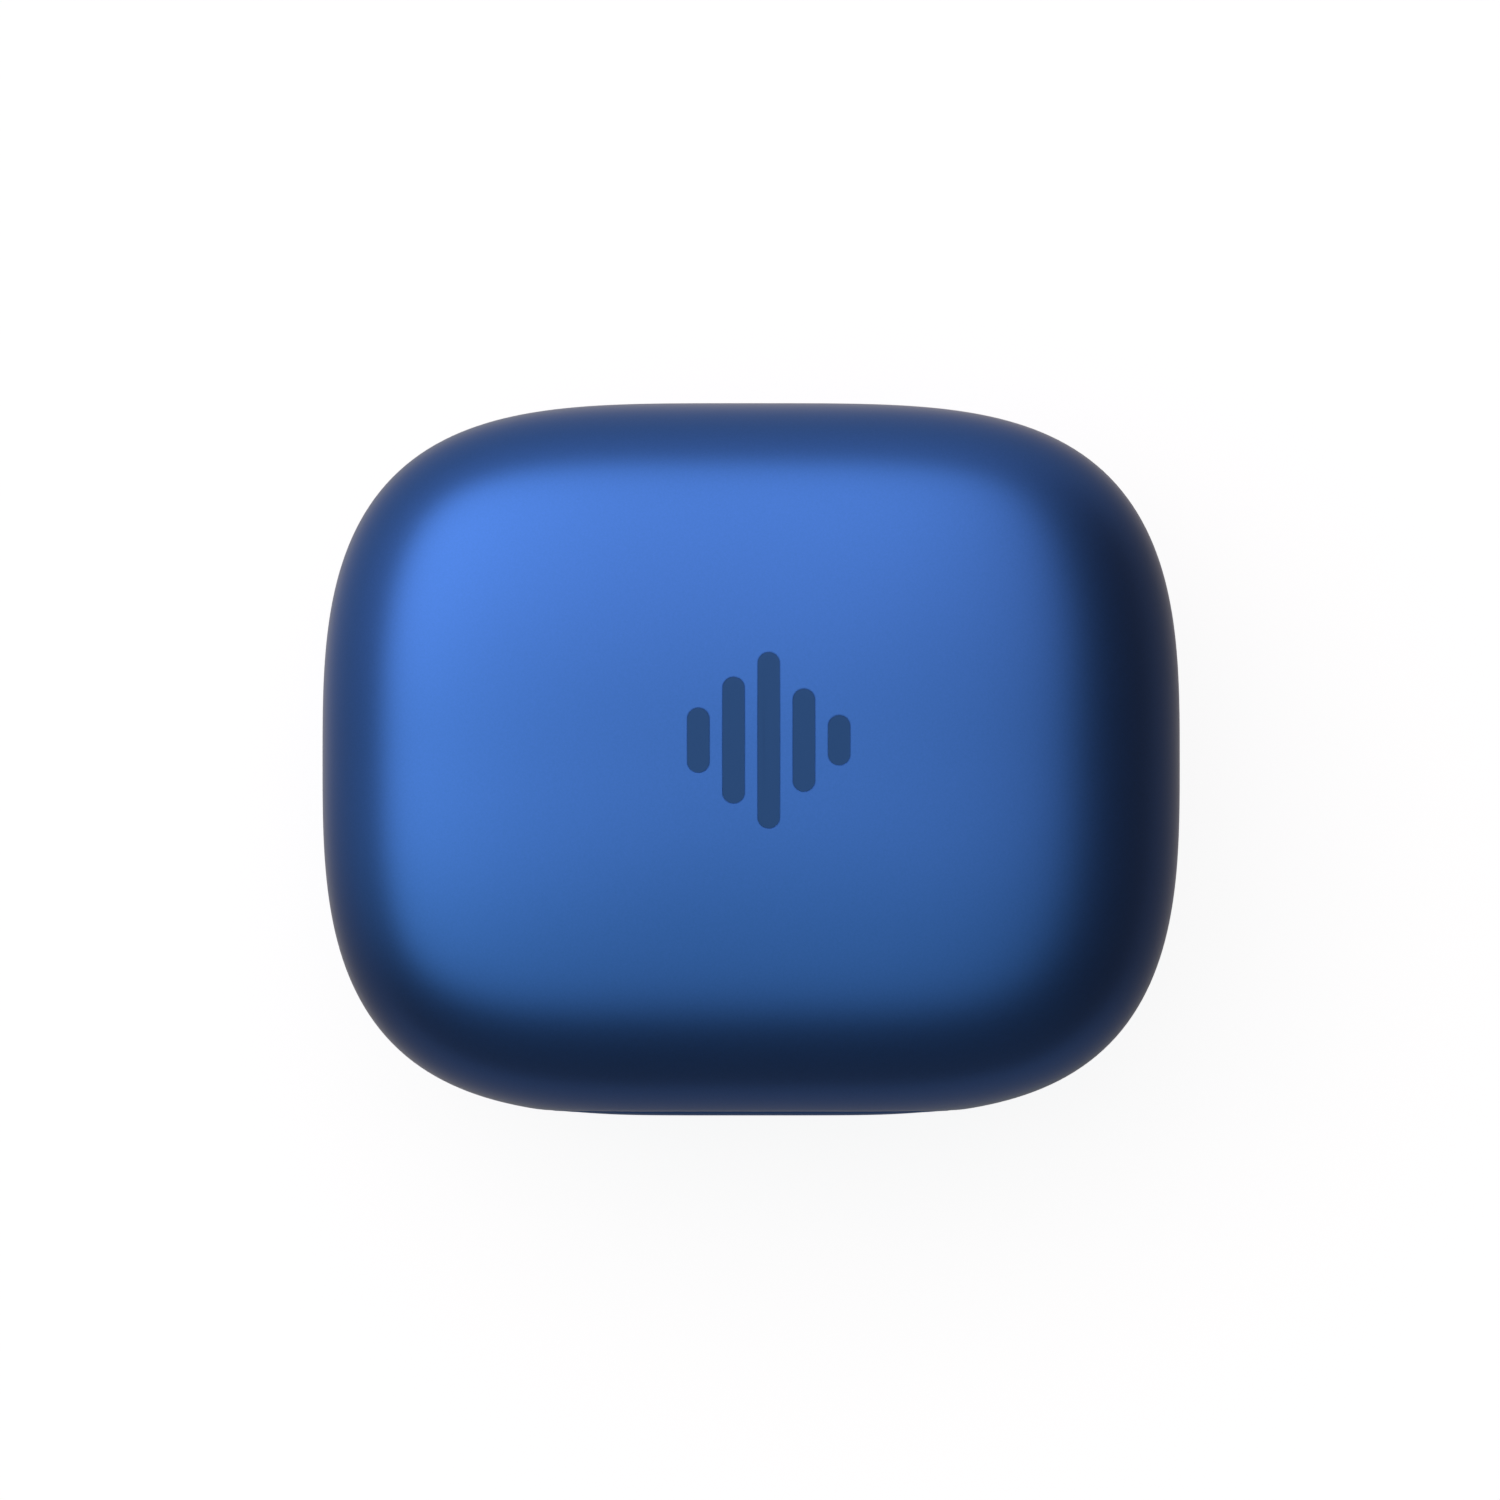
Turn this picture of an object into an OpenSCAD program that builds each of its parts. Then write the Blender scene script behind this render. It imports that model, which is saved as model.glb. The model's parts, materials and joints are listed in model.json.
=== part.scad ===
// Charging case for a pair of in-ear earbuds: a clamshell pebble with a hidden
// gooseneck hinge at the rear, two wells with sprung charging contacts, and the
// electronics stacked under the wells.
// Millimetres. X is the width, -Y the front, +Y the rear, Z up from the table.

/* [Case] */
// Overall width
case_w = 60; // [56:1:66]
// Overall depth, front to rear
case_d = 50; // [48:1:54]
// Height of the base, table to seam
base_h = 15.4; // [15.2:0.1:16.5]
// Height of the lid, seam to crown
lid_h = 12.6; // [12.2:0.1:14]
// Thickness of the outer shells
wall = 1.5; // [1.2:0.1:1.6]
// Gap between the lid and the base along the seam
seam_gap = 0.2; // [0.1:0.05:0.3]

/* [Outline] */
// Roundness of the outline towards the left and right ends
plan_px = 3.8; // [3:0.1:4.2]
// Roundness of the outline towards the front and rear
plan_py = 3.05; // [2.8:0.05:3.4]
// Roundness of the side profile
side_p = 2.9; // [2.6:0.1:3.4]
// How far the bottom curve would run on below the flat
belly = 0.8; // [0.5:0.1:1.2]

/* [Hinge] */
// Distance from the rear face in to the pivot
hinge_inset = 3.1; // [3:0.05:3.3]
// Distance from the seam down to the pivot
hinge_drop = 4.3; // [4.2:0.05:4.5]
// Diameter of the steel pin
pin_d = 1.2; // [1:0.1:1.3]
// Width across the two necks of the lid's arm
arm_w = 16; // [14:0.5:16]

/* [Wells] */
// Distance of each earbud body from the middle
bud_x = 14; // [13.5:0.1:14.5]
// Radius of the pocket for an earbud body
bud_r = 9.4; // [8.5:0.1:9.6]
// Radius of the pocket for an ear tip
tip_r = 6.2; // [5.5:0.1:6.4]
// Thickness of the moulded cups
cup_t = 1; // [0.8:0.1:1]

/* [Mark] */
// Width of one bar of the mark on the lid
bar_w = 1.5; // [1:0.1:1.8]
// Distance from one bar to the next
bar_pitch = 2.4; // [2:0.1:2.8]

/* [Hidden] */
$fn = 48;

seg = 72;                       // points round one ring of a shell
ring_n = 8;                     // rings from the seam to the crown or the foot
cap_scale = 0.2;                // size of the last ring at the crown
half_w = case_w / 2;
half_d = case_d / 2;
seam_z = base_h;
big = 80;                       // longer than the case
fit = 0.12;                     // moulded part in a moulded seat
floor_z = wall + 0.1;           // inside of the base's floor

pivot_y = half_d - hinge_inset;
pivot_z = seam_z - hinge_drop;
pin_r = pin_d / 2;
barrel_r = 1.1;
neck_w = 4.8;                   // each neck of the arm
neck_t = 1.2;
neck_reach = 5;                 // pivot to the middle of the upright
lug_t = 1.2;
lug_x = arm_w / 2 + 0.2;

deck_top = seam_z - 0.3;
deck_t = 1.2;
deck_under = deck_top - deck_t;
liner_under = seam_z + 0.2;
liner_t = 1.2;
liner_top = liner_under + liner_t;
skirt_h = 2.4;
skirt_t = 1;
hinge_slot = [arm_w + 1, pivot_y - neck_reach - neck_t / 2 - 0.4];

bud_y = 1;
bud_z = seam_z + 2;
tip_x = 8;
tip_y = -9.8;
tip_z = seam_z - 0.4;
crown_bud_z = seam_z - 0.9;     // the lid's pockets are flatter than the wells
crown_bud_r = bud_r + 0.6;
crown_tip_z = seam_z - 1.4;
crown_tip_r = tip_r + 0.6;
crown_t = 0.8;

coil_r = 12.2;
coil_hole_r = 5;
coil_t = 0.7;
coil_turns = 10;
ferrite_t = 0.4;
pad_t = 0.6;
ferrite_z = floor_z + coil_t;
pad_z = ferrite_z + ferrite_t;
cell_z = pad_z + pad_t;
cell = [32, 24, 3.4];
cell_y = -2;
cell_top = cell_z + cell.z;

usb_z = 7.6;
usb_size = [8.94, 3.16, 7.3];
usb_mouth_y = half_d - 2.1;
usb_wall = 0.3;
port_gap = 0.1;
trim_outer = [10.3, 4.4];
trim_inner = [9.2, 3.3];
trim_front = 22;
board_t = 0.8;
board_top = usb_z - usb_size.y / 2;
board_front = cell_y + cell.y / 2 + 0.6;
board_rear = 19.4;
board_half = 19;

button_x = 10.5;
button_r = 1.6;
button_gap = 0.1;
button_flange = [4.6, 0.4, 3];
button_flange_y = 20;
switch_y = 18.7;

led_z = 9.2;
led_pitch = 3.4;
led_count = 3;
led_board_y = [-19.9, -19.3];
led_size = [1, 0.6, 0.6];
window_r = 0.6;

contact_y = bud_y + 4.5;
contact_pitch = 3;
block = [7.4, 3.4];
block_under = cell_top + 0.25;
block_top = seam_z - 5.8;
tip_pin_r = 0.42;
flange_pin_r = 0.6;
pin_rise = 0.8;
flex_t = 0.2;

magnet_h = 3;
latch_x = 8;
latch_y = -20.4;
latch = [6, 2.4];
recess_half_w = 20;             // wider than the recess, which runs out on the curve
recess_h = 5.6;
lid_recess = 0.5;               // how far the lid's front edge is cut back
base_recess = 0.65;
recess_slope = 1;
emblem_at = [1.2, 1.4];
emblem_depth = 0.35;
emblem_sunk = 0.06;
bar_heights = [4.4, 8.6, 12, 7, 3.4];
tray_screw_at = [[24.2, 11.2], [19.5, -17]];
tray_post_r = 1.5;
board_screw_at = [16.2, 13];
board_post_r = 1.3;
pilot_r = 0.5;
screw_head = [1.1, 0.6];        // radius and height
bracket_tab_x = 11.6;
bracket_tab_y = 17.8;
arm_screw_x = 5.4;
arm_screw_y = 14.3;

// ---------- helpers ----------

function signed_pow(v, e) = sign(v) * pow(abs(v), e);

// A point of the rounded outline at angle t, with half-axes a and b.
function outline_point(t, a, b) = [
    a * signed_pow(cos(t), 2 / plan_px),
    b * signed_pow(sin(t), 2 / plan_py)
];

function outline(a, b) = [for (k = [0 : seg - 1]) outline_point(k * 360 / seg, a, b)];

// Rings of the side profile as [scale, height above the seam], from the foot to the crown.
function foot_angle(depth, foot) = asin(pow(foot / depth, side_p / 2));
function profile(depth, foot, rise) =
    let (u_foot = foot_angle(depth, foot), u_crown = acos(pow(cap_scale, side_p / 2)))
    concat(
        [for (i = [ring_n : -1 : 1]) let (u = i * u_foot / ring_n)
            [pow(cos(u), 2 / side_p), -depth * pow(sin(u), 2 / side_p)]],
        [for (i = [0 : ring_n]) let (u = i * u_crown / ring_n)
            [pow(cos(u), 2 / side_p), rise * pow(sin(u), 2 / side_p)]]
    );

// Solid through a stack of scaled outlines.
module loft(a, b, rings) {
    last = len(rings) - 1;
    translate([0, 0, seam_z])
        polyhedron(
            points = [for (r = rings) for (p = outline(a * r[0], b * r[0])) [p.x, p.y, r[1]]],
            faces = concat(
                [[for (k = [0 : seg - 1]) k]],
                [[for (k = [seg - 1 : -1 : 0]) last * seg + k]],
                [for (i = [0 : last - 1]) for (k = [0 : seg - 1]) let (n = (k + 1) % seg)
                    [i * seg + k, (i + 1) * seg + k, (i + 1) * seg + n, i * seg + n]]
            )
        );
}

// The whole outer form, and the hollow inside it.
module pebble() {
    loft(half_w, half_d, profile(base_h + belly, base_h, lid_h));
}
module hollow() {
    loft(half_w - wall, half_d - wall,
         profile(base_h + belly - wall, base_h - floor_z, lid_h - wall));
}

// Everything above the seam: a plane that rolls down over the pivot at the rear.
module above_seam(shift) {
    r = hinge_drop + shift;
    prism_x(-big / 2, big / 2)
        polygon(concat(
            [[-big / 2, seam_z + shift]],
            [for (t = [90 : -9 : 0]) [pivot_y + r * cos(t), pivot_z + r * sin(t)]],
            [[big / 2, pivot_z], [big / 2, big], [-big / 2, big]]
        ));
}

// Extrusions along X and Y of a flat shape drawn in YZ or XZ.
module prism_x(x0, x1) translate([x0, 0, 0]) rotate([90, 0, 90]) linear_extrude(x1 - x0) children();
module prism_y(y0, y1) translate([0, y1, 0]) rotate([90, 0, 0]) linear_extrude(y1 - y0) children();
module prism_z(z0, z1) translate([0, 0, z0]) linear_extrude(z1 - z0) children();
module rod_x(x0, x1, r) prism_x(x0, x1) circle(r);
module plan_slab(a, b, z0, z1) prism_z(z0, z1) polygon(outline(a, b));
module both_sides() {
    children();
    mirror([1, 0, 0]) children();
}
module block_at(x, y, z) translate([x[0], y[0], z[0]]) cube([x[1] - x[0], y[1] - y[0], z[1] - z[0]]);

module stadium(w, h) {
    square([w - h, h], center = true);
    for (s = [-1, 1]) translate([s * (w - h) / 2, 0]) circle(d = h);
}

// Countersink-free machine screw standing on its head at the origin.
module screw(head_r, head_h, shank_r, length) {
    difference() {
        cylinder(r = head_r, h = head_h);
        translate([0, 0, -0.01]) cylinder(r = head_r * 0.45, h = head_h * 0.6, $fn = 6);
    }
    translate([0, 0, head_h - 0.01]) cylinder(r = shank_r, h = length);
}

// Round tube swept along a list of points. It never runs parallel to side_on.
function unit(v) = v / norm(v);
module tube(path, r, sides = 8, side_on = [1, 0, 0.01]) {
    last = len(path) - 1;
    function heading(i) = unit(path[min(i + 1, last)] - path[max(i - 1, 0)]);
    function across(i) = unit(cross(heading(i), side_on));
    polyhedron(
        points = [for (i = [0 : last]) for (k = [0 : sides - 1])
            let (t = -k * 360 / sides, u = across(i), v = cross(heading(i), u))
            path[i] + r * (cos(t) * u + sin(t) * v)],
        faces = concat(
            [[for (k = [0 : sides - 1]) k]],
            [[for (k = [sides - 1 : -1 : 0]) last * sides + k]],
            [for (i = [0 : last - 1]) for (k = [0 : sides - 1]) let (n = (k + 1) % sides)
                [i * sides + k, (i + 1) * sides + k, (i + 1) * sides + n, i * sides + n]]
        )
    );
}

// Thumb recess: the front is cut back almost upright above the seam, and at a slant below it.
module thumb_recess() {
    away = -half_d - 5;
    prism_x(-recess_half_w, recess_half_w) {
        polygon([[-half_d + lid_recess, seam_z], [-half_d + lid_recess + 0.14, seam_z + recess_h],
                 [away, seam_z + recess_h], [away, seam_z]]);
        polygon([[-half_d + base_recess, seam_z], [-half_d, seam_z - base_recess / recess_slope],
                 [away, seam_z - base_recess / recess_slope], [away, seam_z]]);
    }
}

// ---------- base: shells and cradle ----------

// Posts that stand on the curved floor and take the tray's and the board's screws.
module posts() {
    intersection() {
        both_sides() {
            for (p = tray_screw_at) translate([p.x, p.y, 0]) cylinder(r = tray_post_r, h = deck_under);
            translate([board_screw_at.x, board_screw_at.y, 0])
                cylinder(r = board_post_r, h = board_top - board_t);
        }
        pebble();
    }
}

module base_shell() {
    color("royalblue")
        difference() {
            union() {
                difference() {
                    pebble();
                    hollow();
                }
                posts();
            }
            both_sides() {
                for (p = tray_screw_at) translate([p.x, p.y, deck_under - 3]) cylinder(r = pilot_r, h = 4);
                translate([board_screw_at.x, board_screw_at.y, board_top - 3]) cylinder(r = pilot_r, h = 4);
            }
            above_seam(-seam_gap / 2);
            thumb_recess();
            translate([0, 0, usb_z])
                prism_y(15, half_d + 1) stadium(trim_outer.x + port_gap, trim_outer.y + port_gap);
            translate([button_x, 0, usb_z]) prism_y(19, half_d + 1) circle(button_r + button_gap);
            for (i = [0 : led_count - 1])
                translate([(i - 1) * led_pitch, 0, led_z]) prism_y(-half_d - 1, -20) circle(window_r);
        }
}

// The two pockets of one well, grown by t.
module well_lobes(t) {
    translate([bud_x, bud_y, bud_z]) sphere(bud_r + t);
    translate([tip_x, tip_y, tip_z]) sphere(tip_r + t);
}

module cradle_tray() {
    skirt_a = half_w - wall - 0.6;
    skirt_b = half_d - wall - 0.6;
    color("midnightblue")
        difference() {
            union() {
                plan_slab(half_w - wall - fit, half_d - wall - fit, deck_under, deck_top);
                difference() {
                    plan_slab(skirt_a, skirt_b, deck_under - skirt_h, deck_under);
                    plan_slab(skirt_a - skirt_t, skirt_b - skirt_t,
                              deck_under - skirt_h - 1, deck_under + 0.1);
                    block_at([-14.5, 14.5], [18, big / 2], [0, deck_under + 0.05]);
                }
                intersection() {
                    both_sides() well_lobes(cup_t);
                    plan_slab(half_w - 2, half_d - 2, 0, deck_top - 0.1);
                }
                both_sides()
                    translate([bracket_tab_x, bracket_tab_y, deck_under - 1]) cylinder(r = 1.6, h = 1.1);
            }
            both_sides() {
                well_lobes(0);
                for (p = tray_screw_at)
                    translate([p.x, p.y, deck_under - 1]) {
                        cylinder(r = pilot_r + 0.1, h = 4);
                        translate([0, 0, 1 + deck_t - 0.7]) cylinder(r = screw_head.x + 0.15, h = 2);
                    }
                translate([bracket_tab_x, bracket_tab_y, deck_under - 2]) cylinder(r = pilot_r, h = 2.6);
                block_at([bud_x - block.x / 2, bud_x + block.x / 2],
                         [contact_y - block.y / 2, contact_y + block.y / 2], [0, block_top + 1]);
            }
            block_at([-hinge_slot.x / 2, hinge_slot.x / 2], [hinge_slot.y, big / 2], [0, big]);
        }
}

// Sunk screws that hold the tray down on the base's posts.
module tray_screws() {
    color("dimgray")
        both_sides()
            for (p = tray_screw_at)
                translate([p.x, p.y, deck_top - 0.1]) rotate([180, 0, 0])
                    screw(screw_head.x, screw_head.y, pilot_r - 0.02, 2.8);
}

// ---------- base: lights ----------

module light_pipe() {
    bar_half = (led_count - 1) * led_pitch / 2 + 1.2;
    bar_y = [-21.9, -20.7];
    sunk = 0.62;
    color("whitesmoke") {
        block_at([-bar_half, bar_half], bar_y, [led_z - 0.9, led_z + 0.9]);
        for (i = [0 : led_count - 1])
            translate([(i - 1) * led_pitch, 0, led_z])
                prism_y(-half_d + sunk, bar_y[0] + 0.1) circle(window_r - 0.05);
    }
}

module led_board() {
    color("darkslategray") block_at([-6.5, 6.5], led_board_y, [led_z - 1.8, led_z + 1.6]);
}

module status_leds() {
    color("lightyellow")
        for (i = [0 : led_count - 1])
            translate([(i - 1) * led_pitch, led_board_y[0] - led_size.y / 2, led_z])
                cube(led_size, center = true);
}

// Strip that joins the lamps and the lid sensor to the main board, over the battery.
module front_flex() {
    back = led_board_y[1];
    low = cell_top;
    color("darkorange") {
        block_at([-1.5, 1.5], [back, back + flex_t], [low, deck_under - 0.6]);
        block_at([-1.5, 1.5], [latch_y - 0.8, back + flex_t], [deck_under - 0.6 - flex_t, deck_under - 0.6]);
        block_at([-1.5, 1.5], [back, board_front + 0.5], [low, low + flex_t]);
        block_at([-1.5, 1.5], [board_front + 0.3, board_front + 0.5], [board_top, low + flex_t]);
    }
}

// ---------- base: power ----------

// Flat winding for charging through the floor: turns of wire on a carrier film.
module charging_coil() {
    film = 0.1;
    pitch = (coil_r - coil_hole_r) / coil_turns;
    color("peru")
        translate([0, 0, floor_z]) {
            difference() {
                cylinder(r = coil_r, h = film);
                translate([0, 0, -1]) cylinder(r = coil_hole_r, h = 2);
            }
            for (i = [0 : coil_turns - 1])
                difference() {
                    cylinder(r = coil_r - i * pitch - 0.02, h = coil_t);
                    translate([0, 0, -1]) cylinder(r = coil_r - (i + 1) * pitch + 0.1, h = 3);
                }
        }
}

module ferrite_sheet() {
    color("dimgray") translate([0, 0, ferrite_z]) cylinder(r = coil_r + 0.4, h = ferrite_t);
}

module battery_pad() {
    pad = [26, 18];
    color("lightgray")
        block_at([-pad.x / 2, pad.x / 2], [cell_y - pad.y / 2, cell_y + pad.y / 2], [pad_z, cell_z]);
}

// Pouch with a narrower taped end that holds the protection board.
module battery_cell() {
    rear = cell_y + cell.y / 2;
    taped = 2.4;
    color("gainsboro") {
        block_at([-cell.x / 2, cell.x / 2], [cell_y - cell.y / 2, rear - taped], [cell_z, cell_top]);
        block_at([-cell.x / 2 + 1, cell.x / 2 - 1], [rear - taped, rear], [cell_z + 0.5, cell_top]);
    }
}

module battery_leads() {
    lead_r = 0.28;
    y0 = cell_y + cell.y / 2;
    z0 = cell_top - 0.35;
    plug_z = board_top + 0.6;
    rise = plug_z - z0;
    for (i = [0, 1])
        color(i == 0 ? "firebrick" : "black")
            translate([-9.4 + i, 0, 0])
                tube([for (s = [0 : 0.1 : 1]) [0, y0 + 2.2 * s, z0 + rise * (3 * s * s - 2 * s * s * s)]],
                     lead_r);
}

module battery_plug() {
    y0 = cell_y + cell.y / 2 + 2.2;
    color("ivory") block_at([-10.6, -7.2], [y0, y0 + 2], [board_top, board_top + 1.2]);
}

// ---------- base: main board ----------

module main_board() {
    inset = 4.7;
    color("darkgreen")
        difference() {
            intersection() {
                block_at([-board_half, board_half], [board_front, board_rear],
                         [board_top - board_t, board_top]);
                plan_slab(half_w - wall - inset, half_d - wall - inset + 0.9, 0, big);
            }
            both_sides()
                translate([board_screw_at.x, board_screw_at.y, 0]) cylinder(r = pilot_r + 0.2, h = big);
        }
}

module board_chips() {
    // corner and size of each chip, then the first corner, pitch and count of each row of capacitors
    chips = [[[5, 11.2], [3, 3, 0.8]], [[9, 11.4], [2.2, 1.6, 1]], [[12, 12.2], [2, 2.6, 0.7]]];
    rows = [[[-3.6, 11.3], 1.5, 5], [[-3.2, 12.8], 1.6, 4]];
    capacitor = [0.8, 0.5, 0.5];
    color("darkslategray") {
        for (chip = chips) translate([chip[0].x, chip[0].y, board_top]) cube(chip[1]);
        for (row = rows)
            for (i = [0 : row[2] - 1])
                translate([row[0].x + i * row[1], row[0].y, board_top]) cube(capacitor);
    }
}

module shield_can() {
    can_x = [-15, -6.4];
    can_y = [14.9, 17.9];
    can_h = 1.3;
    sheet = 0.2;
    inward = [sheet, -sheet];
    color("silver")
        difference() {
            block_at(can_x, can_y, [board_top, board_top + can_h]);
            block_at(can_x + inward, can_y + inward, [board_top - 1, board_top + can_h - sheet]);
        }
}

module board_screws() {
    color("dimgray")
        both_sides()
            translate([board_screw_at.x, board_screw_at.y, board_top + screw_head.y]) rotate([180, 0, 0])
                screw(screw_head.x, screw_head.y, pilot_r - 0.02, 2.4);
}

module usb_receptacle() {
    color("silver")
        translate([0, 0, usb_z])
            difference() {
                prism_y(usb_mouth_y - usb_size.z, usb_mouth_y) stadium(usb_size.x, usb_size.y);
                prism_y(usb_mouth_y - usb_size.z + 0.4, usb_mouth_y + 1)
                    stadium(usb_size.x - 2 * usb_wall, usb_size.y - 2 * usb_wall);
            }
}

module usb_tongue() {
    y0 = usb_mouth_y - usb_size.z + 0.4;
    color("black")
        translate([0, 0, usb_z]) {
            prism_y(y0, y0 + 1.2) stadium(usb_size.x - 2 * usb_wall - 0.04, usb_size.y - 2 * usb_wall - 0.04);
            block_at([-3.35, 3.35], [y0 + 1.1, y0 + 5.6], [-0.35, 0.35]);
        }
}

module usb_contacts() {
    y0 = usb_mouth_y - usb_size.z + 1.8;
    color("gold")
        translate([0, 0, usb_z])
            for (i = [0 : 11]) for (s = [-1, 1])
                block_at([-2.87 + i * 0.5, -2.63 + i * 0.5], [y0, y0 + 3.6],
                         [s > 0 ? 0.35 : -0.39, s > 0 ? 0.39 : -0.35]);
}

// Ring that lines the port, cut flush with the outer form.
module usb_trim() {
    color("silver")
        intersection() {
            translate([0, 0, usb_z])
                difference() {
                    prism_y(trim_front, half_d + 1) stadium(trim_outer.x, trim_outer.y);
                    prism_y(trim_front - 1, half_d + 2) stadium(trim_inner.x, trim_inner.y);
                }
            pebble();
        }
}

module button_switch() {
    color("black")
        translate([button_x, 0, 0])
            difference() {
                block_at([-1.8, 1.8], [switch_y - 3, switch_y], [board_top, usb_z + 1.4]);
                translate([0, 0, usb_z]) prism_y(switch_y - 2, switch_y + 1) circle(0.75);
            }
}

// ---------- base: charging contacts, magnets, sensor ----------

module contact_block(side) {
    color("black")
        difference() {
            block_at([side * bud_x - block.x / 2 + 0.05, side * bud_x + block.x / 2 - 0.05],
                     [contact_y - block.y / 2 + 0.05, contact_y + block.y / 2 - 0.05],
                     [block_under, block_top]);
            for (s = [-1, 1])
                translate([side * bud_x + s * contact_pitch / 2, contact_y, 0]) {
                    translate([0, 0, block_under + 0.4])
                        cylinder(r = flange_pin_r + 0.05, h = block_top - 0.35 - block_under - 0.4);
                    translate([0, 0, block_top - 0.36]) cylinder(r = tip_pin_r + 0.05, h = 1);
                }
        }
}

module contact_pin(x) {
    color("gold")
        translate([x, contact_y, 0]) {
            translate([0, 0, block_top - 1.1]) cylinder(r = flange_pin_r, h = 0.7);
            translate([0, 0, block_top - 0.5]) cylinder(r = tip_pin_r, h = 0.5 + pin_rise - tip_pin_r);
            translate([0, 0, block_top + pin_rise - tip_pin_r]) sphere(tip_pin_r);
        }
}

// Coil spring that lifts one charging pin.
module contact_spring(x) {
    wire_r = 0.07;
    turns = 4;
    coil = 0.42;
    steps = turns * 10;
    low = block_under + 0.4 + wire_r;
    high = block_top - 1.1 - wire_r;
    color("silver")
        translate([x, contact_y, 0])
            tube([for (i = [0 : steps]) let (t = i * 360 * turns / steps)
                    [coil * cos(t), coil * sin(t), low + (high - low) * i / steps]],
                 wire_r, 6, [0, 0, 1]);
}

// Flexible strips from the contact blocks to the main board.
module contact_flexes() {
    color("darkorange")
        both_sides() {
            block_at([bud_x - 2, bud_x + 2], [contact_y - 1.6, board_front + 1],
                     [block_under - flex_t, block_under]);
            block_at([bud_x - 2, bud_x + 2], [board_front + 1 - flex_t, board_front + 1],
                     [board_top, block_under]);
        }
}

module bud_magnets() {
    color("silver")
        both_sides() block_at([24.2, 26.5], [bud_y - 3, bud_y + 3], [deck_under - magnet_h, deck_under]);
}

module latch_pair(z0) {
    both_sides()
        block_at([latch_x - latch.x / 2, latch_x + latch.x / 2],
                 [latch_y - latch.y / 2, latch_y + latch.y / 2], [z0, z0 + magnet_h]);
}
module latch_magnets() color("silver") latch_pair(deck_under - magnet_h);

module lid_sensor() {
    color("black") block_at([-1.4, 1.4], [latch_y - 0.8, latch_y + 0.8], [deck_under - 0.6, deck_under]);
}

// ---------- hinge ----------

module hinge_bracket() {
    web_z = 9.35;
    sheet = 0.4;
    front = 15.6;
    tab_z = deck_under - 1;
    tab_r = 1.8;
    color("silver")
        difference() {
            union() {
                block_at([-lug_x - lug_t, lug_x + lug_t], [front, pivot_y - 0.5], [web_z, web_z + sheet]);
                both_sides() {
                    block_at([lug_x, lug_x + lug_t], [front, pivot_y], [web_z, tab_z]);
                    translate([0, pivot_y, pivot_z]) rod_x(lug_x, lug_x + lug_t, barrel_r);
                    block_at([lug_x + 0.1, bracket_tab_x + tab_r],
                             [bracket_tab_y - tab_r, bracket_tab_y + tab_r], [tab_z - sheet, tab_z]);
                }
            }
            translate([0, pivot_y, pivot_z]) rod_x(-big / 2, big / 2, pin_r + 0.02);
            both_sides() translate([bracket_tab_x, bracket_tab_y, 0]) cylinder(r = 0.6, h = big);
            // the lug is narrow above the pin, so that it stays clear of the seam
            both_sides()
                block_at([lug_x - 0.1, lug_x + lug_t + 0.1], [pivot_y - 2, big / 2],
                         [pivot_z + barrel_r, big]);
        }
}

module bracket_screws() {
    color("dimgray")
        both_sides()
            translate([bracket_tab_x, bracket_tab_y, deck_under - 1.9]) screw(1.1, 0.5, 0.46, 1.9);
}

module hinge_pin() {
    color("silver")
        translate([0, pivot_y, pivot_z]) rod_x(-lug_x - lug_t - 0.3, lug_x + lug_t + 0.3, pin_r);
}

// Torsion spring round the pin: a coil, one leg on the bracket and one under the arm.
module hinge_spring() {
    wire_r = 0.16;
    turns = 6;
    coil = 0.86;
    half = 2.2;
    steps = turns * 12;
    color("silver")
        translate([0, pivot_y, pivot_z])
            tube(concat(
                    [[-half, -3.6, -1.2], [-half, -2.2, -1.12], [-half, -1, -1]],
                    [for (i = [0 : steps]) let (t = -90 - i * 360 * turns / steps)
                        [-half + 2 * half * i / steps, coil * cos(t), coil * sin(t)]],
                    [[half, -1, -0.96], [half + 0.2, -1.6, -0.98], [half + 1.5, -2.4, -0.98],
                     [half + 1.8, -3.4, -0.98], [half + 1.8, -4.4, -0.98]]
                ), wire_r);
}

// Gooseneck arm of the lid: two necks reach under the seam to the pin.
module hinge_arm() {
    upright_y = pivot_y - neck_reach;
    foot_y = 12.4;
    color("dimgray")
        difference() {
            union() {
                both_sides() {
                    translate([0, pivot_y, pivot_z]) rod_x(arm_w / 2 - neck_w, arm_w / 2, barrel_r);
                    block_at([arm_w / 2 - neck_w, arm_w / 2], [upright_y - neck_t / 2, pivot_y - 0.5],
                             [pivot_z - neck_t / 2, pivot_z + neck_t / 2]);
                    block_at([arm_w / 2 - neck_w, arm_w / 2],
                             [upright_y - neck_t / 2, upright_y + neck_t / 2],
                             [pivot_z - neck_t / 2, liner_top + 0.5]);
                }
                block_at([-arm_w / 2, arm_w / 2], [foot_y, upright_y + neck_t / 2],
                         [liner_top, liner_top + 1]);
            }
            translate([0, pivot_y, pivot_z]) rod_x(-big / 2, big / 2, pin_r + 0.05);
            both_sides() translate([arm_screw_x, arm_screw_y, 0]) cylinder(r = 0.6, h = big);
        }
}

module arm_screws() {
    color("silver")
        both_sides()
            translate([arm_screw_x, arm_screw_y, liner_top + 1.5]) rotate([180, 0, 0])
                screw(1, 0.5, 0.46, 1.7);
}

// ---------- button ----------

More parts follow.
